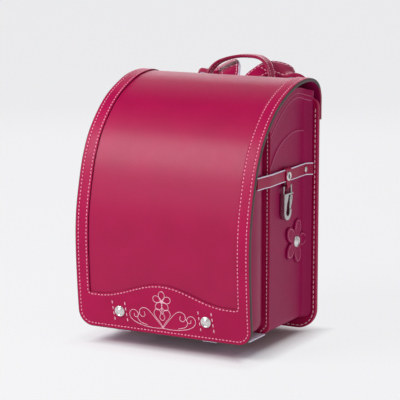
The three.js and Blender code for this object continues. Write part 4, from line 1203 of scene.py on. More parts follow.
def make_pocket():
    """The pocket: a gusset whose sides bulge between two folds, and its front behind the flap."""
    rows = uniform_spline([(0, -2.2), (0.14, -0.8), (0.32, 0.7), (0.52, 1.5), (0.7, 1.3), (0.84, 0.2),
                           (0.94, -1.3), (1, -2.7)], 7)
    front, rear = 9.0, 70.55
    loops = []
    for depth, bulge in rows:
        y = front + depth * (rear - front)
        half = 115 + bulge * 2
        top = float(np.interp(y, [9, 14, 24, 36, 50, 71], [150, 205, 243, 260.6, 260.6, 260.6]))
        outer = u_path(half, 29.5, top, 14, side=60)
        inner = u_path(half - 2, 31.5, top, 12, side=60)[::-1]
        path = np.vstack([outer, inner])
        loops.append(upright(path, y))
    loops = np.array(loops)
    for loop in loops:
        limit = np.array([flap_at(0, flap_run_at(min(z, 262)), FLAP_THICK + 4.2)[1] for z in loop[:, 2]])
        loop[:, 1] = np.maximum(loop[:, 1], limit)
    built("pocket_side_leather", [skin(loops, paired=True)], [look("fold")], 60, ("pocket_gusset",))
    runs = np.linspace(float(flap_run_at(31)), float(flap_run_at(247)), 60)
    x = np.linspace(-113, 113, 31)
    loops = [np.vstack([flap_at(x, run, 9.0), flap_at(x[::-1], run, 11.0)]) for run in runs]
    built("pocket_front_leather", [skin(loops, paired=True)], [look("fold")], 50, ("pocket_front",))


class RANSEL_OT_body(bpy.types.Operator):
    """Builds the side gusset, front wall, pocket and base lip"""

    bl_idname = "ransel.body"
    bl_label = "Body"

    def execute(self, context):
        make_side_gusset()
        make_side_lines()
        make_front_wall()
        make_pocket()
        refined("base_lip", look("lining"), 0.4, "bag")
        return {"FINISHED"}


# ---------------------------------------------------------------- back


BORDER_SIDE, BORDER_TURN = 60, 16  # points along each side and round each corner of the back border


def back_rail(offset):
    """The back border's outline moved inwards, from the right side round the bottom and over the top."""
    return rounded_loop(
        -BACK_HALF + offset, BACK_HALF - offset, BACK_BOTTOM + offset, BOARD_TOP - offset, 28 - offset,
        max(12 - offset, 0.5), sides=BORDER_SIDE, turn=BORDER_TURN,
    )


def flange_rail():
    """Where the border's front lap ends, in step with back_rail: beside the side panels and under the body."""
    return rounded_loop(
        -126.2, 126.2, FLOOR_GAP - 0.4, BOARD_TOP - 1.3, 10, 11, sides=BORDER_SIDE, turn=BORDER_TURN
    )


def make_back_border():
    """The leather that wraps the back board's edge, with a pressed groove on each face."""
    laps = []
    for d, y in ((0.5, 188.75), (1.3, 188.55), (2.9, 188.55), (3.3, 188.7), (3.7, 188.86), (4.1, 188.7),
                 (4.5, 188.55)):
        laps.append((back_rail(d), y))
    front = laps[::-1]
    inner, last = flange_rail(), back_rail(4.6)
    rails = [(inner, 189.7), (inner, 188.8), (last + (inner - last) * 0.5, 188.55)] + front
    for d, y in ((0.12, 189.3), (0, 190.2), (0, 193.9), (0.15, 194.8), (0.6, 195.25), (1.4, 195.4), (6.6, 195.4),
                 (7.0, 195.25), (7.4, 195.1), (7.8, 195.25), (8.2, 195.4), (11.4, 195.4), (11.9, 195.1),
                 (12, 194.1)):
        rails.append((back_rail(d), y))
    rails += [(back_rail(2.0), 194.1), (back_rail(2.0), 189.8)]
    loops = np.stack([upright(r, y) for r, y in rails], axis=1)
    built("back_border_leather", [skin(loops, round_trip=True)], [look("border")], 60, ("back_border",))
    board = back_rail(1.6)
    built("back_board_leather", [plate_parts(board, 189.9, 194.05, 0.4)], [look("side")], 50, ("back_board",))
    front_row, rear_row = back_rail(3.7), back_rail(7.4)
    count = 3 * BORDER_SIDE + 2 * (BORDER_TURN - 2)  # up both sides and under the base, not over the top
    rows = [upright(front_row[:count], 188.62)[1:-1]]
    stitch("back_border_front_seam", rows, look("pale"), pitch=0.0068, length=0.0052,
           thread=0.0013)
    rows = [upright(rear_row, 195.35)]
    stitch("back_border_rear_seam", rows, look("thread"))


PAD_LOW, PAD_HIGH, PAD_HALF, PAD_CORNER, PAD_RIM = 61.5, 287.5, 117.5, 24.0, 9.5
PAD_CHANNELS = {
    "spine_left": [(-13, 74), (-12, 130), (-9, 190), (-12, 276)],
    "spine_right": [(13, 74), (12, 130), (9, 190), (12, 276)],
    "low_left": [(-106, 139), (-70, 130), (-40, 133), (-12, 143)],
    "low_right": [(106, 139), (70, 130), (40, 133), (12, 143)],
    "high_left": [(-106, 211), (-70, 206), (-40, 203), (-10, 208)],
    "high_right": [(106, 211), (70, 206), (40, 203), (10, 208)],
}


def pad_half_at(z, inset=0.0):
    low, high, half, corner = PAD_LOW + inset, PAD_HIGH - inset, PAD_HALF - inset, PAD_CORNER - inset
    near = np.minimum(z - low, high - z)
    into = np.clip(corner - near, 0, corner)
    return half - corner + np.sqrt(np.clip(corner**2 - into**2, 0, None))


def distance_to(lines, x, z):
    """How far points are from the nearest of some polylines."""
    best = np.full(x.shape, 1e9)
    for line in lines:
        for (ax, az), (bx, bz) in zip(line[:-1], line[1:]):
            dx, dz = bx - ax, bz - az
            t = np.clip(((x - ax) * dx + (z - az) * dz) / (dx * dx + dz * dz), 0, 1)
            best = np.minimum(best, np.hypot(x - ax - t * dx, z - az - t * dz))
    return best


def pad_border_line(inset):
    """A closed line inside the pad's edge."""
    corner = PAD_CORNER - inset
    return rounded_loop(
        -PAD_HALF + inset, PAD_HALF - inset, PAD_LOW + inset, PAD_HIGH - inset, corner, corner, 40, 10
    )


def inflated(name, points, faces, held, pressure, reach, frames=20):
    """Blows a closed shell up as cloth, with some points held, and returns where its points come to rest."""
    mesh = bpy.data.meshes.new(name)
    mesh.from_pydata(to_frame(points).tolist(), [], faces)
    cover = bpy.data.objects.new(name, mesh)
    bpy.context.scene.collection.objects.link(cover)
    group = cover.vertex_groups.new(name="held")
    group.add([int(k) for k in np.flatnonzero(held)], 1.0, "REPLACE")
    cloth = cover.modifiers.new("Cloth", "CLOTH")
    own = cloth.settings
    own.quality = 6
    own.mass = 0.25
    own.tension_stiffness = own.compression_stiffness = 12
    own.shear_stiffness = 6
    own.bending_stiffness = 0.6
    own.use_pressure = True
    own.uniform_pressure_force = pressure
    own.vertex_group_mass = "held"
    own.effector_weights.gravity = 0
    cloth.collision_settings.use_collision = False
    cloth.collision_settings.use_self_collision = False
    cloth.point_cache.frame_start, cloth.point_cache.frame_end = 1, frames
    scene = bpy.context.scene
    for number in range(1, frames + 1):
        scene.frame_set(number)
    graph = bpy.context.evaluated_depsgraph_get()
    blown = cover.evaluated_get(graph).to_mesh()
    rest = np.empty(len(blown.vertices) * 3)
    blown.vertices.foreach_get("co", rest)
    cover.evaluated_get(graph).to_mesh_clear()
    cover.modifiers.clear()
    scene.frame_set(1)
    bpy.data.objects.remove(cover)
    moved = rest.reshape(-1, 3) * 1000 + (0, SHIFT_Y, 0) - points
    far = np.linalg.norm(moved, axis=1)[:, None]
    return points + moved * np.minimum(1, reach / np.maximum(far, 1e-6))


def make_back_pad():
    """The padded back: one leather cover over foam, sewn down along its channels and blown up as cloth."""
    step = 3.6
    turn = PAD_CORNER * (1 - np.cos(np.linspace(0, math.pi / 2, 8)))
    straight = np.arange(PAD_LOW + PAD_CORNER, PAD_HIGH - PAD_CORNER, step)
    heights = np.unique(np.round(np.r_[PAD_LOW + turn, straight, PAD_HIGH - turn], 3))
    count = 66
    base, top = 194.6, 200.2
    loops = []
    for z in heights:
        half = float(pad_half_at(z))
        x = np.linspace(-half, half, count)
        near = np.minimum(np.minimum(half - np.abs(x), z - PAD_LOW), PAD_HIGH - z)
        rise = (top - base - 2.2) * smoothstep(near / 6) + 2.2
        front = np.column_stack([x, base + rise, np.full(count, z)])
        back = np.column_stack([x[::-1], np.full(count, base), np.full(count, z)])
        loops.append(np.vstack([front, back]))
    points, faces, looks = skin(loops)
    x, y, z = points.T
    channels = distance_to(list(PAD_CHANNELS.values()), x, z)
    rim_line = pad_border_line(PAD_RIM)
    rim_line = np.vstack([rim_line, rim_line[:1]])
    rim = distance_to([rim_line], x, z)
    outside = np.minimum(np.minimum(pad_half_at(z) - np.abs(x), z - PAD_LOW), PAD_HIGH - z) < PAD_RIM
    spine = (np.abs(x) < 10) & (z > 78) & (z < 272)
    pinned = (channels < 2.2) | (rim < 2.0) | outside | (y < base + 0.5) | spine
    groove = np.exp(-((channels / 2.2) ** 2)) + np.exp(-((rim / 2.2) ** 2))
    points[:, 1] -= np.where(y > base + 1.0, 2.4 * np.clip(groove, 0, 1) + 1.2 * spine, 0)
    points = inflated("back_pad_cover", points, faces, pinned, 5.0, 5.5)
    points[:, 1] = np.minimum(points[:, 1], 207.5)
    mesh = solid_mesh("back_pad_leather", [(points, faces, looks)], [look("pad")])
    pad = bpy.data.objects.new("smoother", mesh)
    bpy.context.scene.collection.objects.link(pad)
    smoother = pad.modifiers.new("Smooth", "SUBSURF")
    smoother.levels = smoother.render_levels = 1
    bpy.context.view_layer.update()
    graph = bpy.context.evaluated_depsgraph_get()
    fine = bpy.data.meshes.new_from_object(pad.evaluated_get(graph), depsgraph=graph)
    fine.name = "back_pad_leather"
    bpy.data.objects.remove(pad)
    pad = finished("back_pad_leather", fine, "bag", ("back_pad",))
    surface = lambda line, lift: np.column_stack([line[:, 0], pad_face(points, line) + lift, line[:, 1]])
    rows = [surface(resample(uniform_spline(line, 12), step=2.0), 0.15) for line in PAD_CHANNELS.values()]
    rows.append(surface(rim_line, 0.15))
    stitch("back_pad_seams", rows, look("pale"))


def pad_face(points, line):
    """The pad's outer face under points of a line, from its nearest mesh points."""
    front = points[points[:, 1] > 196.5]
    found = []
    for x, z in line:
        d = np.hypot(front[:, 0] - x, front[:, 2] - z)
        near = np.argsort(d)[:4]
        weight = 1 / (d[near] + 0.3)
        found.append(float(np.sum(front[near, 1] * weight) / np.sum(weight)))
    return np.array(found)


def make_pad_top():
    """The pad's upper edge, flat where the flap's tail is sewn over it."""
    loop = rounded_loop(-117, 117, 285.0, 305.5, 3, 20)
    built("back_pad_top", [plate_parts(loop, 194.5, 205.0, 1.5)], [look("pad")], 50)


class RANSEL_OT_back(bpy.types.Operator):
    """Builds the back board, its wrapped border and the padded back"""

    bl_idname = "ransel.back"
    bl_label = "Back"

    def execute(self, context):
        make_back_border()
        make_back_pad()
        make_pad_top()
        return {"FINISHED"}


# ---------------------------------------------------------------- side fittings


def make_side_belt(side, sign):
    """The belt along a side, with pale piping on both edges."""
    table = ((0, 0.6), (0.12, 1.1), (0.21, 1.6), (0.28, 1.6), (0.42, 1.12), (0.7, 1.1), (0.82, 0.65), (0.9, 0.6),
             (0.972, 0.6), (0.985, 2.2), (1, 3.9))
    start, end = MAIN_FRONT - 37, 186.5
    line = uniform_spline([(start + y * (end - start), BODY_HALF + out * 2.2) for y, out in table], 8)
    y = np.linspace(start, end, 70)
    x = np.interp(y, line[:, 0], line[:, 1])
    x = np.maximum(x, BODY_HALF + flare(y) + 0.5) + 1.0
    middle = BELT_BOTTOM + BELT_WIDTH / 2
    route = np.column_stack([sign * x, y, np.full(len(y), middle)])
    belt = Strap(route, (0, 0, sign), BELT_WIDTH - 1.6, 2.0, step=2.0)
    if np.mean(belt.out[:, 0]) * sign < 0:
        belt = Strap(route, (0, 0, -sign), BELT_WIDTH - 1.6, 2.0, step=2.0)
    built("side_belt_leather_" + side, [belt.shell((0, 0, 0), radius=0.5, crown=0.25)], [look("strap")], 60,
          ("side_belt_" + side,))
    cords = [tube(belt.row(edge, 0.1, lift=-0.7), 0.95) for edge in (-1, 1)]
    built("side_belt_piping_" + side, cords, [look("piping")], None)


def make_tab(side, sign):
    """The tapered tab that folds over the side belt and holds the hook's bar, with its eyelet."""
    face = BODY_HALF + 1.1 * 2.2
    x0, thick = face + 1.0, 1.5
    left, right = face - GAP - thick / 2, face + 2 + GAP + thick / 2
    top = BELT_BOTTOM + BELT_WIDTH + GAP + thick / 2
    reach = 1.65 + thick / 2
    path = [(left, HOOK_Z + 9), (left, HOOK_Z + 16), (left, top - 1.2), (left + 0.8, top - 0.1),
            (right - 0.8, top - 0.1), (right, top - 1.2), (right, BELT_BOTTOM + 8), (right, BELT_BOTTOM - 1),
            (x0 + reach + 0.1, HOOK_Z + 1.5)]
    bend = np.radians(np.linspace(-15, -180, 10))
    path += [(x0 + reach * math.cos(a), HOOK_Z + reach * math.sin(a)) for a in bend]
    path += [(left, HOOK_Z + 6)]
    route = np.array([(sign * x, TAB_Y, z) for x, z in path])
    wide = np.interp(route[:, 2], (HOOK_Z - 3, HOOK_Z + 2.6, BELT_BOTTOM + 2, BELT_BOTTOM + 20),
                     (9, 9.4, 15, 15.4))
    tab = Strap(route, (0, 1, 0), wide, thick, step=1.0)
    built("hook_tab_leather_" + side, [tab.shell((0, 0, 0), radius=0.4)], [look("strap")], 60,
          ("hook_tab_" + side,))
    at = (sign * (right + thick / 2), TAB_Y, BELT_BOTTOM + BELT_WIDTH * 0.44)
    ring = [(2.9, -0.2), (6.2, -0.2), (6.2, 0.3), (5.9, 0.85), (5.2, 1.25), (4.4, 1.3), (3.6, 1.0), (3.1, 0.5),
            (2.9, 0.1)]
    built("eyelet_ring_" + side, [lathe(ring, (sign, 0, 0), at)], [look("stud")], 60, ("eyelet_" + side,))
    # painted shade: a dark disc in edge paint fills the eyelet's ring where its hole would lie in shade
    well = [(0, -0.1), (3.0, -0.1), (3.0, 0.12), (2.2, 0.02), (0, 0.0)]
    built("eyelet_hole_painted_shade_" + side, [lathe(well, (sign, 0, 0), at)], [look("edge")], None)


def make_hook(side):
    """The snap hook and its gate, with eased corners."""
    refined("hook_body_" + side, look("metal"), 0.55, side + "_hook", segments=3)
    refined("hook_gate_" + side, look("metal"), 0.3, side + "_gate", segments=2)


def flower_radius(a):
    """The outline of five petals, seen from the middle."""
    long, wide = FLOWER_R * 0.42, FLOWER_R * 0.32
    middle = FLOWER_R - long
    best = np.full(np.shape(a), FLOWER_R * 0.25)
    for k in range(5):
        turn = a - k * 2 * math.pi / 5
        c, s = np.cos(turn) / long, np.sin(turn) / wide
        p = c * middle / long
        q = c * c + s * s
        inside = p * p - q * ((middle / long) ** 2 - 1)
        best = np.maximum(best, np.where(inside > 0, (p + np.sqrt(np.clip(inside, 0, None))) / q, 0))
    return best


def make_flower(side, sign):
    """The leather flower: five domed petals with pressed and sewn rims."""
    angles = np.linspace(0, 2 * math.pi, 300, endpoint=False)
    rim = flower_radius(angles)
    foot = BODY_HALF + 0.15
    shares = ((1.0, 0.0), (1.0, 0.9), (0.985, 1.4), (0.955, 1.75), (0.9, 1.9), (0.86, 1.72), (0.83, 1.62),
              (0.8, 1.75), (0.74, 1.98), (0.6, 2.15), (0.42, 2.1), (0.25, 1.9))
    rows = []
    for share, high in shares:
        r = rim * share
        rows.append(np.column_stack([np.full(300, sign * (foot + high)), FLOWER_Y + r * np.cos(angles),
                                     FLOWER_Z + r * np.sin(angles)]))
    built("flower_leather_" + side, [skin(rows)], [look("side")], 60, ("flower_" + side,))
    lines = []
    for k in range(5):
        turn = k * 2 * math.pi / 5
        a = np.linspace(-2.5, 2.5, 60)
        long, wide = FLOWER_R * 0.42 - 2.6, FLOWER_R * 0.32 - 2.6
        u = FLOWER_R * 0.58 + long * np.cos(a)
        v = wide * np.sin(a)
        y = u * math.cos(turn) - v * math.sin(turn)
        z = u * math.sin(turn) + v * math.cos(turn)
        lines.append(np.column_stack([np.full(60, sign * (foot + 1.78)), FLOWER_Y + y, FLOWER_Z + z]))
    stitch("flower_seams_" + side, lines, look("thread"), pitch=0.0024, length=0.0016,
           thread=0.0009)


class RANSEL_OT_sides(bpy.types.Operator):
    """Builds both sides' belt, tab, eyelet, hook and flower"""

    bl_idname = "ransel.sides"
    bl_label = "Side fittings"

    def execute(self, context):
        for side, sign in (("left", -1), ("right", 1)):
            make_side_belt(side, sign)
            make_tab(side, sign)
            make_hook(side)
            make_flower(side, sign)
        return {"FINISHED"}


# ---------------------------------------------------------------- handle and straps

PIN_Y, PIN_Z, HALF_SPAN = TAIL_BACK + 10.2, 315.6, 48.97
STRAP_TABLE = (
    # across, behind the flap's tail, up, width and thickness as shares of the strap's sizes,
    # turn and dip in degrees
    (0.2, 0.09, 0.88, 0.58, 0.45, 0, 0), (0.2, 0.12, 0.928, 0.6, 0.45, 0, 0),
    (0.22, 0.24, 0.957, 0.62, 0.55, 6, 3),
    (0.3, 0.5, 0.98, 0.66, 0.7, 18, 14), (0.43, 0.78, 0.993, 0.76, 0.85, 28, 25),
    (0.61, 0.93, 0.982, 0.92, 1, 30, 30),
    (0.79, 0.99, 0.955, 1, 1, 22, 26), (0.91, 1, 0.875, 1.02, 1, 10, 12), (0.97, 0.95, 0.753, 1, 1, 3, 3),
    (0.99, 0.8, 0.589, 0.95, 1, 0, 0), (0.995, 0.6, 0.445, 0.85, 0.9, 0, 0),
    (0.985, 0.43, 0.34, 0.68, 0.6, 0, 0),
)
STRAP_SPREAD, STRAP_REACH, STRAP_RISE = 77.88, 52.0, 349.5
ROUTE_STATIONS = 37  # as many as the frame's strap has, so that its rivet and end fall in place
STRAP_WIDTH, STRAP_THICK = 44.0, 9.0
LOWER_WIDTH, LOWER_THICK = 24.0, 2.6
HANDLE_WIDTH, HANDLE_THICK, HANDLE_LEAN, HANDLE_RISE = 14.5, 4.0, 32.0, 48.4
RING_X, RING_Y, RING_TOP, RING_LOW = 77.1, 200.846, 31.0, 17.1


def make_handle():
    """The carrying handle: an arched leather band, its ends wrapped round two pins."""
    table = ((1, 0, 0), (1.01, 0, 0.3), (0.95, 0.08, 0.58), (0.81, 0.3, 0.79), (0.6, 0.6, 0.915),
             (0.32, 0.88, 0.985), (0, 1, 1))
    half = [(-x * HALF_SPAN, PIN_Y + y * HANDLE_LEAN, PIN_Z + z * HANDLE_RISE) for x, y, z in table]
    whole = half + [(-x, y, z) for x, y, z in half[-2::-1]]
    route = resample(centripetal(whole, 300), count=120)
    band = Strap(route, (0, 1, 0), HANDLE_WIDTH, HANDLE_THICK, step=1.8)
    parts = [band.shell((0, 1, 0), radius=1.4, groove=2.2, depth=0.3, crown=0.3, sag=0.3)]
    for sign in (-1, 1):
        loop = [(2.6, -7.2), (4.2, -7.2), (4.6, -6.8), (4.6, 6.8), (4.2, 7.2), (2.6, 7.2)]
        parts.append(lathe(loop, (0, 1, 0), (sign * HALF_SPAN, PIN_Y, PIN_Z)))
    built("handle_leather", parts, [look("strap"), look("rim")], 60, ("handle",))
    rows = [band.row(edge, 2.2, face=face, lift=0.1, start=6, end=6) for edge in (-1, 1) for face in (-1, 1)]
    stitch("handle_seams", rows, look("pale"), pitch=0.0045, length=0.0032, thread=0.0009)
    for side in ("left", "right"):
        refined("handle_bracket_" + side, look("metal"), 0.5, "bag")
    refined("strap_plate", look("metal"), 0.6, "bag")


def shoulder_route(sign, count=150):
    """Centre line, across direction, width and thickness of a shoulder strap."""
    rows = np.array(STRAP_TABLE, float)
    points = rows[:, :3] * (sign * STRAP_SPREAD, STRAP_REACH, STRAP_RISE) + (0, TAIL_BACK, 0)
    route = centripetal(points, count)
    place = np.linspace(0, len(rows) - 1, count)
    mix = lambda column: np.interp(place, np.arange(len(rows)), rows[:, column])
    turn, dip = np.radians(mix(5)), np.radians(mix(6))
    across = np.column_stack([np.cos(dip) * np.cos(turn), -sign * np.cos(dip) * np.sin(turn),
                              -sign * np.sin(dip)])
    return route, across, mix(3) * STRAP_WIDTH, mix(4) * STRAP_THICK


def make_shoulder_strap(side, sign):
    """A padded shoulder strap: leather outside, pale edge and lining towards the shoulder."""
    route, across, width, thick = shoulder_route(sign)
    strap = Strap(route, across, width, thick, step=2.6, tip=(0, 9))
    points, faces, kinds = strap.shell((0, 1, 2), radius=1.3, groove=4.2, depth=0.6, crown=0.9, sag=1.1, inner=9)
    count = len(points) // len(strap.at)
    bare = int(np.searchsorted(strap.run, 105.0))  # the outer edge is bound in leather as far as this station
    for k, face in enumerate(faces):
        station = min(min(face) // count, len(strap.at) - 1)
        out = (np.mean([points[v] for v in face], axis=0) - strap.at[station]).dot(strap.side[station]) * sign
        if kinds[k] == 1 and station < bare and out > 0:
            kinds[k] = 0
    shell = points, faces, kinds
    mesh = solid_mesh("shoulder_strap_leather_" + side, [shell], [look("strap"), look("piping"), look("lining")])
    piece = finished("shoulder_strap_leather_" + side, keep_edges(mesh, 60), "bag", ("shoulder_strap_" + side,))
    rows = [strap.row(edge, 4.2, lift=0.2, start=8, end=7) for edge in (-1, 1)]
    rows += [strap.row(edge, 4.2, face=-1, lift=0.2, start=8, end=7) for edge in (-1, 1)]
    for k in (np.searchsorted(strap.run, 8.0), np.searchsorted(strap.run, 50.0)):
        half = strap.width[k] / 2 - 4.2
        middle = strap.at[k] + strap.out[k] * (strap.thick[k] / 2 + 0.75)
        rows.append(np.array([middle + strap.side[k] * t for t in np.linspace(-half, half, 12)]))
    stitch("shoulder_strap_seams_" + side, rows, look("pale"), pitch=0.006, length=0.0045,
           thread=0.0013)
    coarse, turned, _, thick = shoulder_route(sign, ROUTE_STATIONS)
    rise = coarse[6] - coarse[5]
    out = np.cross(rise / np.linalg.norm(rise), turned[6])
    out /= np.linalg.norm(out) * (-1 if out[1] > 0 else 1)
    rivet("strap_rivet_cap_" + side, "strap_rivet_" + side, coarse[6] + out * (thick[6] / 2 + 0.9), out, 5, 1.9,
          look("stud"), ringed=True)


def make_lower_strap(side, sign):
    """The lower strap from under the upper one down to its ring, the ring and its tab."""
    x = sign * RING_X
    end = shoulder_route(sign, ROUTE_STATIONS)[0]
    at = end[-1]
    along = (end[-1] - end[-2]) / np.linalg.norm(end[-1] - end[-2])
    inward = np.cross((1, 0, 0), along)
    inward *= (1 if inward[1] < 0 else -1) / np.linalg.norm(inward)
    seat = at + inward * (0.6 * STRAP_THICK / 2 + GAP + LOWER_THICK / 2)
    foot = np.array([x, RING_Y + 2.846 + 1, RING_LOW])
    rows = ((1.2, 1.32), (1.09, 1.14), (1, 1), (0.8, 0.8), (0.58, 0.6), (0.36, 0.38), (0.17, 0.18), (0.02, 0))
    points = [(x, foot[1] + y * (seat[1] - foot[1]), foot[2] + z * (seat[2] - foot[2])) for y, z in rows]
    band = Strap(resample(centripetal(points, 200), count=90), (1, 0, 0), LOWER_WIDTH, LOWER_THICK, step=2.5,
                 tip=(7, 0))
    parts = [band.shell((0, 1, 2), radius=0.8, groove=2.6, depth=0.3, crown=0.2)]
    loop = [(2.85, -12), (4.4, -12), (4.85, -11.5), (4.85, 11.5), (4.4, 12), (2.85, 12)]
    parts.append(lathe(loop, (1, 0, 0), (x, RING_Y, RING_LOW)))
    built("lower_strap_leather_" + side, parts, [look("strap"), look("edge"), look("lining")], 60,
          ("lower_strap_" + side,))
    rows = [band.row(edge, 2.6, face=face, lift=0.08, start=5, end=5) for edge in (-1, 1) for face in (-1, 1)]
    stitch("lower_strap_seams_" + side, rows, look("thread"), pitch=0.0045, length=0.0032,
           thread=0.0009)
    holes = []
    for k in range(5):
        spot = band.run[-1] * (0.42 + 0.09 * k)
        j = int(np.searchsorted(band.run, spot))
        for face in (-1, 1):
            ring = [(1.1, -0.2), (2.3, -0.2), (2.3, 0.15), (1.9, 0.42), (1.4, 0.35), (1.1, 0.1)]
            holes.append(lathe(ring, band.out[j] * face, band.at[j] + band.out[j] * face * 1.45, sides=20))
    built("lower_strap_eyelets_" + side, holes, [look("metal")], None)
    wire = rounded_loop(x - 14.2, x + 14.2, RING_LOW, RING_TOP, 3, 3, 10, 7)
    ring = tube(upright(wire, RING_Y), 1.8, sides=14, closed=True)
    built("ring_wire_" + side, [ring], [look("metal")], None, ("ring_" + side,))
    plate = rounded_loop(x - 11, x + 11, RING_TOP, RING_TOP + 22, 1.5, 6, 10, 8)
    hold = [(2.85, -11), (4.4, -11), (4.85, -10.5), (4.85, 10.5), (4.4, 11), (2.85, 11)]
    parts = [plate_parts(plate, 195.75, 197.9, 0.5), lathe(hold, (1, 0, 0), (x, RING_Y, RING_TOP))]
    built("ring_tab_leather_" + side, parts, [look("strap")], 60, ("ring_tab_" + side,))
    seam = rounded_loop(x - 8.6, x + 8.6, RING_TOP + 7.5, RING_TOP + 19.6, 1, 4, 10, 8)
    seam = np.vstack([seam, seam[:1]])
    rows = [upright(seam, 197.95)]
    stitch("ring_tab_seams_" + side, rows, look("pale"), pitch=0.004, length=0.0028,
           thread=0.0009)
    refined("buckle_" + side, look("metal"), 0.7, "bag", segments=3)


class RANSEL_OT_straps(bpy.types.Operator):
    """Builds the handle, shoulder straps, lower straps, buckles and rings"""

    bl_idname = "ransel.straps"
    bl_label = "Handle and straps"

    def execute(self, context):
        make_handle()
        for side, sign in (("left", -1), ("right", 1)):
            make_shoulder_strap(side, sign)
            make_lower_strap(side, sign)
        return {"FINISHED"}


class RANSEL_OT_closing(bpy.types.Operator):
    """Builds the two closing belts under the flap and the lock"""

    bl_idname = "ransel.closing"
    bl_label = "Closing belts and lock"

    def execute(self, context):
        lock_front = MAIN_FRONT + 40
        start_y = float(flap_at(0, 0.002 * FLAP_LENGTH, FLAP_THICK)[1])
        reach = lock_front - GAP - start_y
        table = ((0.02, 0.9, 0), (0.08, 0.885, 0), (0.15, 0.84, 0.01), (0.35, 0.67, 0.04), (0.48, 0.5, 0.08),
                 (0.6, 0.27, 0.13), (0.7, 0.105, 0.2), (0.79, 0.075, 0.32), (0.89, 0.11, 0.58), (1, 0.19, 0.92))
        for side, sign in (("left", -1), ("right", 1)):
            inset = FLAP_THICK + GAP + 1.1
            shares = (0.115, 0.07, 0.03, 0)
            points = [tuple(flap_at(sign * RIVET_X, s * FLAP_LENGTH, inset)) for s in shares]
            points += [
                (sign * (RIVET_X + turn * (15.9 - RIVET_X)), start_y + 1.4 + y * (reach - 1.4), z * FLOOR_GAP)
                for y, z, turn in table
            ]
            route = resample(uniform_spline(points, 12), step=2.0)
            belt = Strap(route, (1, 0, 0), 22.0, 2.2, step=2.0)
            mesh = solid_mesh("closing_belt_leather_" + side,
                              [belt.shell((0, 2, 1), radius=0.7, groove=2.4, depth=0.25)],
                              [look("strap"), look("piping"), look("edge")])
            finished("closing_belt_leather_" + side, keep_edges(mesh, 60), "bag", ("closing_belt_" + side,))
            rows = [belt.row(edge, 2.4, face=-1, lift=0.08, start=8, end=6) for edge in (-1, 1)]
            stitch("closing_belt_seams_" + side, rows, look("pale"), pitch=0.0045,
                   length=0.0032, thread=0.0009)
        refined("lock", look("metal"), 1.0, "bag", segments=3)
        return {"FINISHED"}


# ---------------------------------------------------------------- studio


def softbox(name, at, aim, wide, high, power):
    """A rectangular area light at a place in metres, turned to a point."""
    light = bpy.data.lights.new(name, "AREA")
    light.shape = "RECTANGLE"
    light.size, light.size_y = wide, high
    light.energy = power
    lamp = bpy.data.objects.new(name, light)
    bpy.context.scene.collection.objects.link(lamp)
    lamp.location = at
    lamp.rotation_euler = (Vector(aim) - Vector(at)).to_track_quat("-Z", "Y").to_euler()


def around(azimuth, elevation, distance, centre=(0, 0, 0.18)):
    """A point around the ransel: azimuth from straight in front of the flap, positive to its right."""
    a, e = math.radians(azimuth), math.radians(elevation)
    ray = Vector((math.cos(e) * math.sin(a), -math.cos(e) * math.cos(a), math.sin(e)))
    return Vector(centre) + distance * ray


def studio_world():
    """Soft light from all round, brighter towards the horizon."""
    world = bpy.data.worlds.new("Studio")
    world.use_nodes = True
    tree = world.node_tree
    tree.nodes.clear()
    out = tree.nodes.new("ShaderNodeOutputWorld")
    back = tree.nodes.new("ShaderNodeBackground")
    place = tree.nodes.new("ShaderNodeTexCoord")
    split = tree.nodes.new("ShaderNodeSeparateXYZ")
    tree.links.new(place.outputs["Generated"], split.inputs[0])
    level = ranged(tree, split.outputs["Z"], 0.62, 0.05, 0.12, 0.66)
    tree.links.new(level, back.inputs["Strength"])
    back.inputs["Color"].default_value = (1, 1, 1, 1)
    tree.links.new(back.outputs[0], out.inputs["Surface"])
    bpy.context.scene.world = world


def studio_floor():
    """A wide pale floor that takes the ransel's soft shadow, with a dark contact shadow also painted under its
    footprint; further out it glows evenly pale.
    """
    bm = bmesh.new()
    bmesh.ops.create_circle(bm, cap_ends=True, segments=96, radius=30)
    mesh = bpy.data.meshes.new("studio_floor")
    bm.to_mesh(mesh)
    bm.free()
    floor = bpy.data.objects.new("studio_floor", mesh)
    bpy.context.scene.collection.objects.link(floor)
    material = bpy.data.materials.new("Studio floor")
    material.use_nodes = True
    tree = material.node_tree
    tree.nodes.clear()
    out = tree.nodes.new("ShaderNodeOutputMaterial")
    place = tree.nodes.new("ShaderNodeTexCoord")
    split = tree.nodes.new("ShaderNodeSeparateXYZ")
    tree.links.new(place.outputs["Object"], split.inputs[0])

    def calculated(operation, first, second=0.0):
        node = tree.nodes.new("ShaderNodeMath")
        node.operation = operation
        for value, socket in ((first, node.inputs[0]), (second, node.inputs[1])):
            if isinstance(value, float):
                socket.default_value = value
            else:
                tree.links.new(value, socket)
        return node.outputs[0]

    middle = (100.0 - SHIFT_Y) / 1000
    beside = calculated("SUBTRACT", calculated("ABSOLUTE", split.outputs["X"]), 0.118)
    along = calculated("ABSOLUTE", calculated("SUBTRACT", split.outputs["Y"], middle))
    away = calculated("MAXIMUM", beside, calculated("SUBTRACT", along, 0.1))
    matt = tree.nodes.new("ShaderNodeBsdfDiffuse")
    # painted shadow: the floor's colour is dark and reddish under the bag's footprint and pales over its outer 3
    # cm
    painted_shadow = ranged(tree, away, 0.0, 1.0, -0.03, 0.0)
    tree.links.new(blended(tree, painted_shadow, (0.5, 0.36, 0.4, 1), (0.86, 0.86, 0.875, 1)), matt.inputs["Color"])
    glow = tree.nodes.new("ShaderNodeEmission")
    glow.inputs["Color"].default_value = (0.9, 0.9, 0.915, 1)
    mix = tree.nodes.new("ShaderNodeMixShader")
    # the glow keeps the floor evenly pale away from the bag and fades out near and under the footprint, which
    # deepens the painted shadow there
    tree.links.new(ranged(tree, away, 0.03, 0.9, -0.012, 0.03), mix.inputs[0])
    tree.links.new(matt.outputs[0], mix.inputs[1])
    tree.links.new(glow.outputs[0], mix.inputs[2])
    tree.links.new(mix.outputs[0], out.inputs["Surface"])
    mesh.materials.append(material)


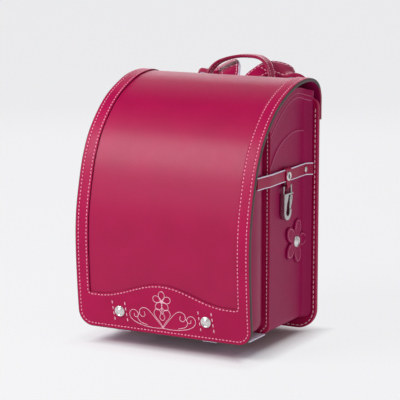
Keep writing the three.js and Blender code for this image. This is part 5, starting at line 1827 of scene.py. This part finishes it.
class RANSEL_OT_stage(bpy.types.Operator):
    """Sets the floor, the softboxes and the camera"""

    bl_idname = "ransel.stage"
    bl_label = "Studio"

    def execute(self, context):
        scene = context.scene
        light = scene.ransel_studio
        scene.view_settings.view_transform = "Standard"
        scene.view_settings.look = "None"
        studio_world()
        studio_floor()
        softbox("key_softbox", around(-34, 37, 2.0), (0, 0, 0.2), 1.15, 0.95, light.key)
        softbox("top_softbox", (0.5, -0.1, 1.9), (0, 0, 0.1), 1.3, 1.3, light.top)
        softbox("fill_softbox", around(70, 25, 2.2), (0, 0, 0.2), 1.0, 1.0, light.fill)
        softbox("rim_softbox", around(-149, 25, 2.2), (0, 0, 0.3), 1.6, 1.15, light.rim)
        target = Vector((0, (107.0 - SHIFT_Y) / 1000, 0.1846))
        back = Vector((0.47054, -0.86481, 0.17519)).normalized()
        data = bpy.data.cameras.new("Photo view")
        data.lens = 163.0
        data.sensor_width = 36.0
        data.sensor_fit = "HORIZONTAL"
        data.clip_start, data.clip_end = 0.05, 100.0
        camera = bpy.data.objects.new("Photo view", data)
        scene.collection.objects.link(camera)
        camera.location = target + 2.406 * back
        camera.rotation_euler = (-back).to_track_quat("-Z", "Y").to_euler()
        scene.camera = camera
        return {"FINISHED"}


# ---------------------------------------------------------------- add-on

PIECES = (
    RANSEL_OT_stage, RANSEL_OT_flap, RANSEL_OT_embroidery, RANSEL_OT_rivets, RANSEL_OT_body, RANSEL_OT_back,
    RANSEL_OT_sides, RANSEL_OT_straps, RANSEL_OT_closing,
)


class RANSEL_PT_panel(bpy.types.Panel):
    """Lists the ransel's pieces, sizes and colours in the sidebar"""

    bl_idname = "RANSEL_PT_panel"
    bl_label = "School ransel"
    bl_space_type = "VIEW_3D"
    bl_region_type = "UI"
    bl_category = "Ransel"

    def draw(self, context):
        scene = context.scene
        for piece in PIECES:
            self.layout.operator(piece.bl_idname)
        for group in (scene.ransel_stitches, scene.ransel_colours, scene.ransel_studio):
            box = self.layout.box()
            for name in group.__annotations__:
                box.prop(group, name)


CLASSES = (RanselStitches, RanselColours, RanselStudio) + PIECES + (RANSEL_PT_panel,)


def register():
    for each in CLASSES:
        bpy.utils.register_class(each)
    bpy.types.Scene.ransel_stitches = PointerProperty(type=RanselStitches)
    bpy.types.Scene.ransel_colours = PointerProperty(type=RanselColours)
    bpy.types.Scene.ransel_studio = PointerProperty(type=RanselStudio)


def unregister():
    for name in ("ransel_stitches", "ransel_colours", "ransel_studio"):
        delattr(bpy.types.Scene, name)
    for each in reversed(CLASSES):
        bpy.utils.unregister_class(each)


def main():
    register()
    for piece in PIECES:
        group, name = piece.bl_idname.split(".")
        getattr(getattr(bpy.ops, group), name)()


if __name__ == "__main__":
    main()
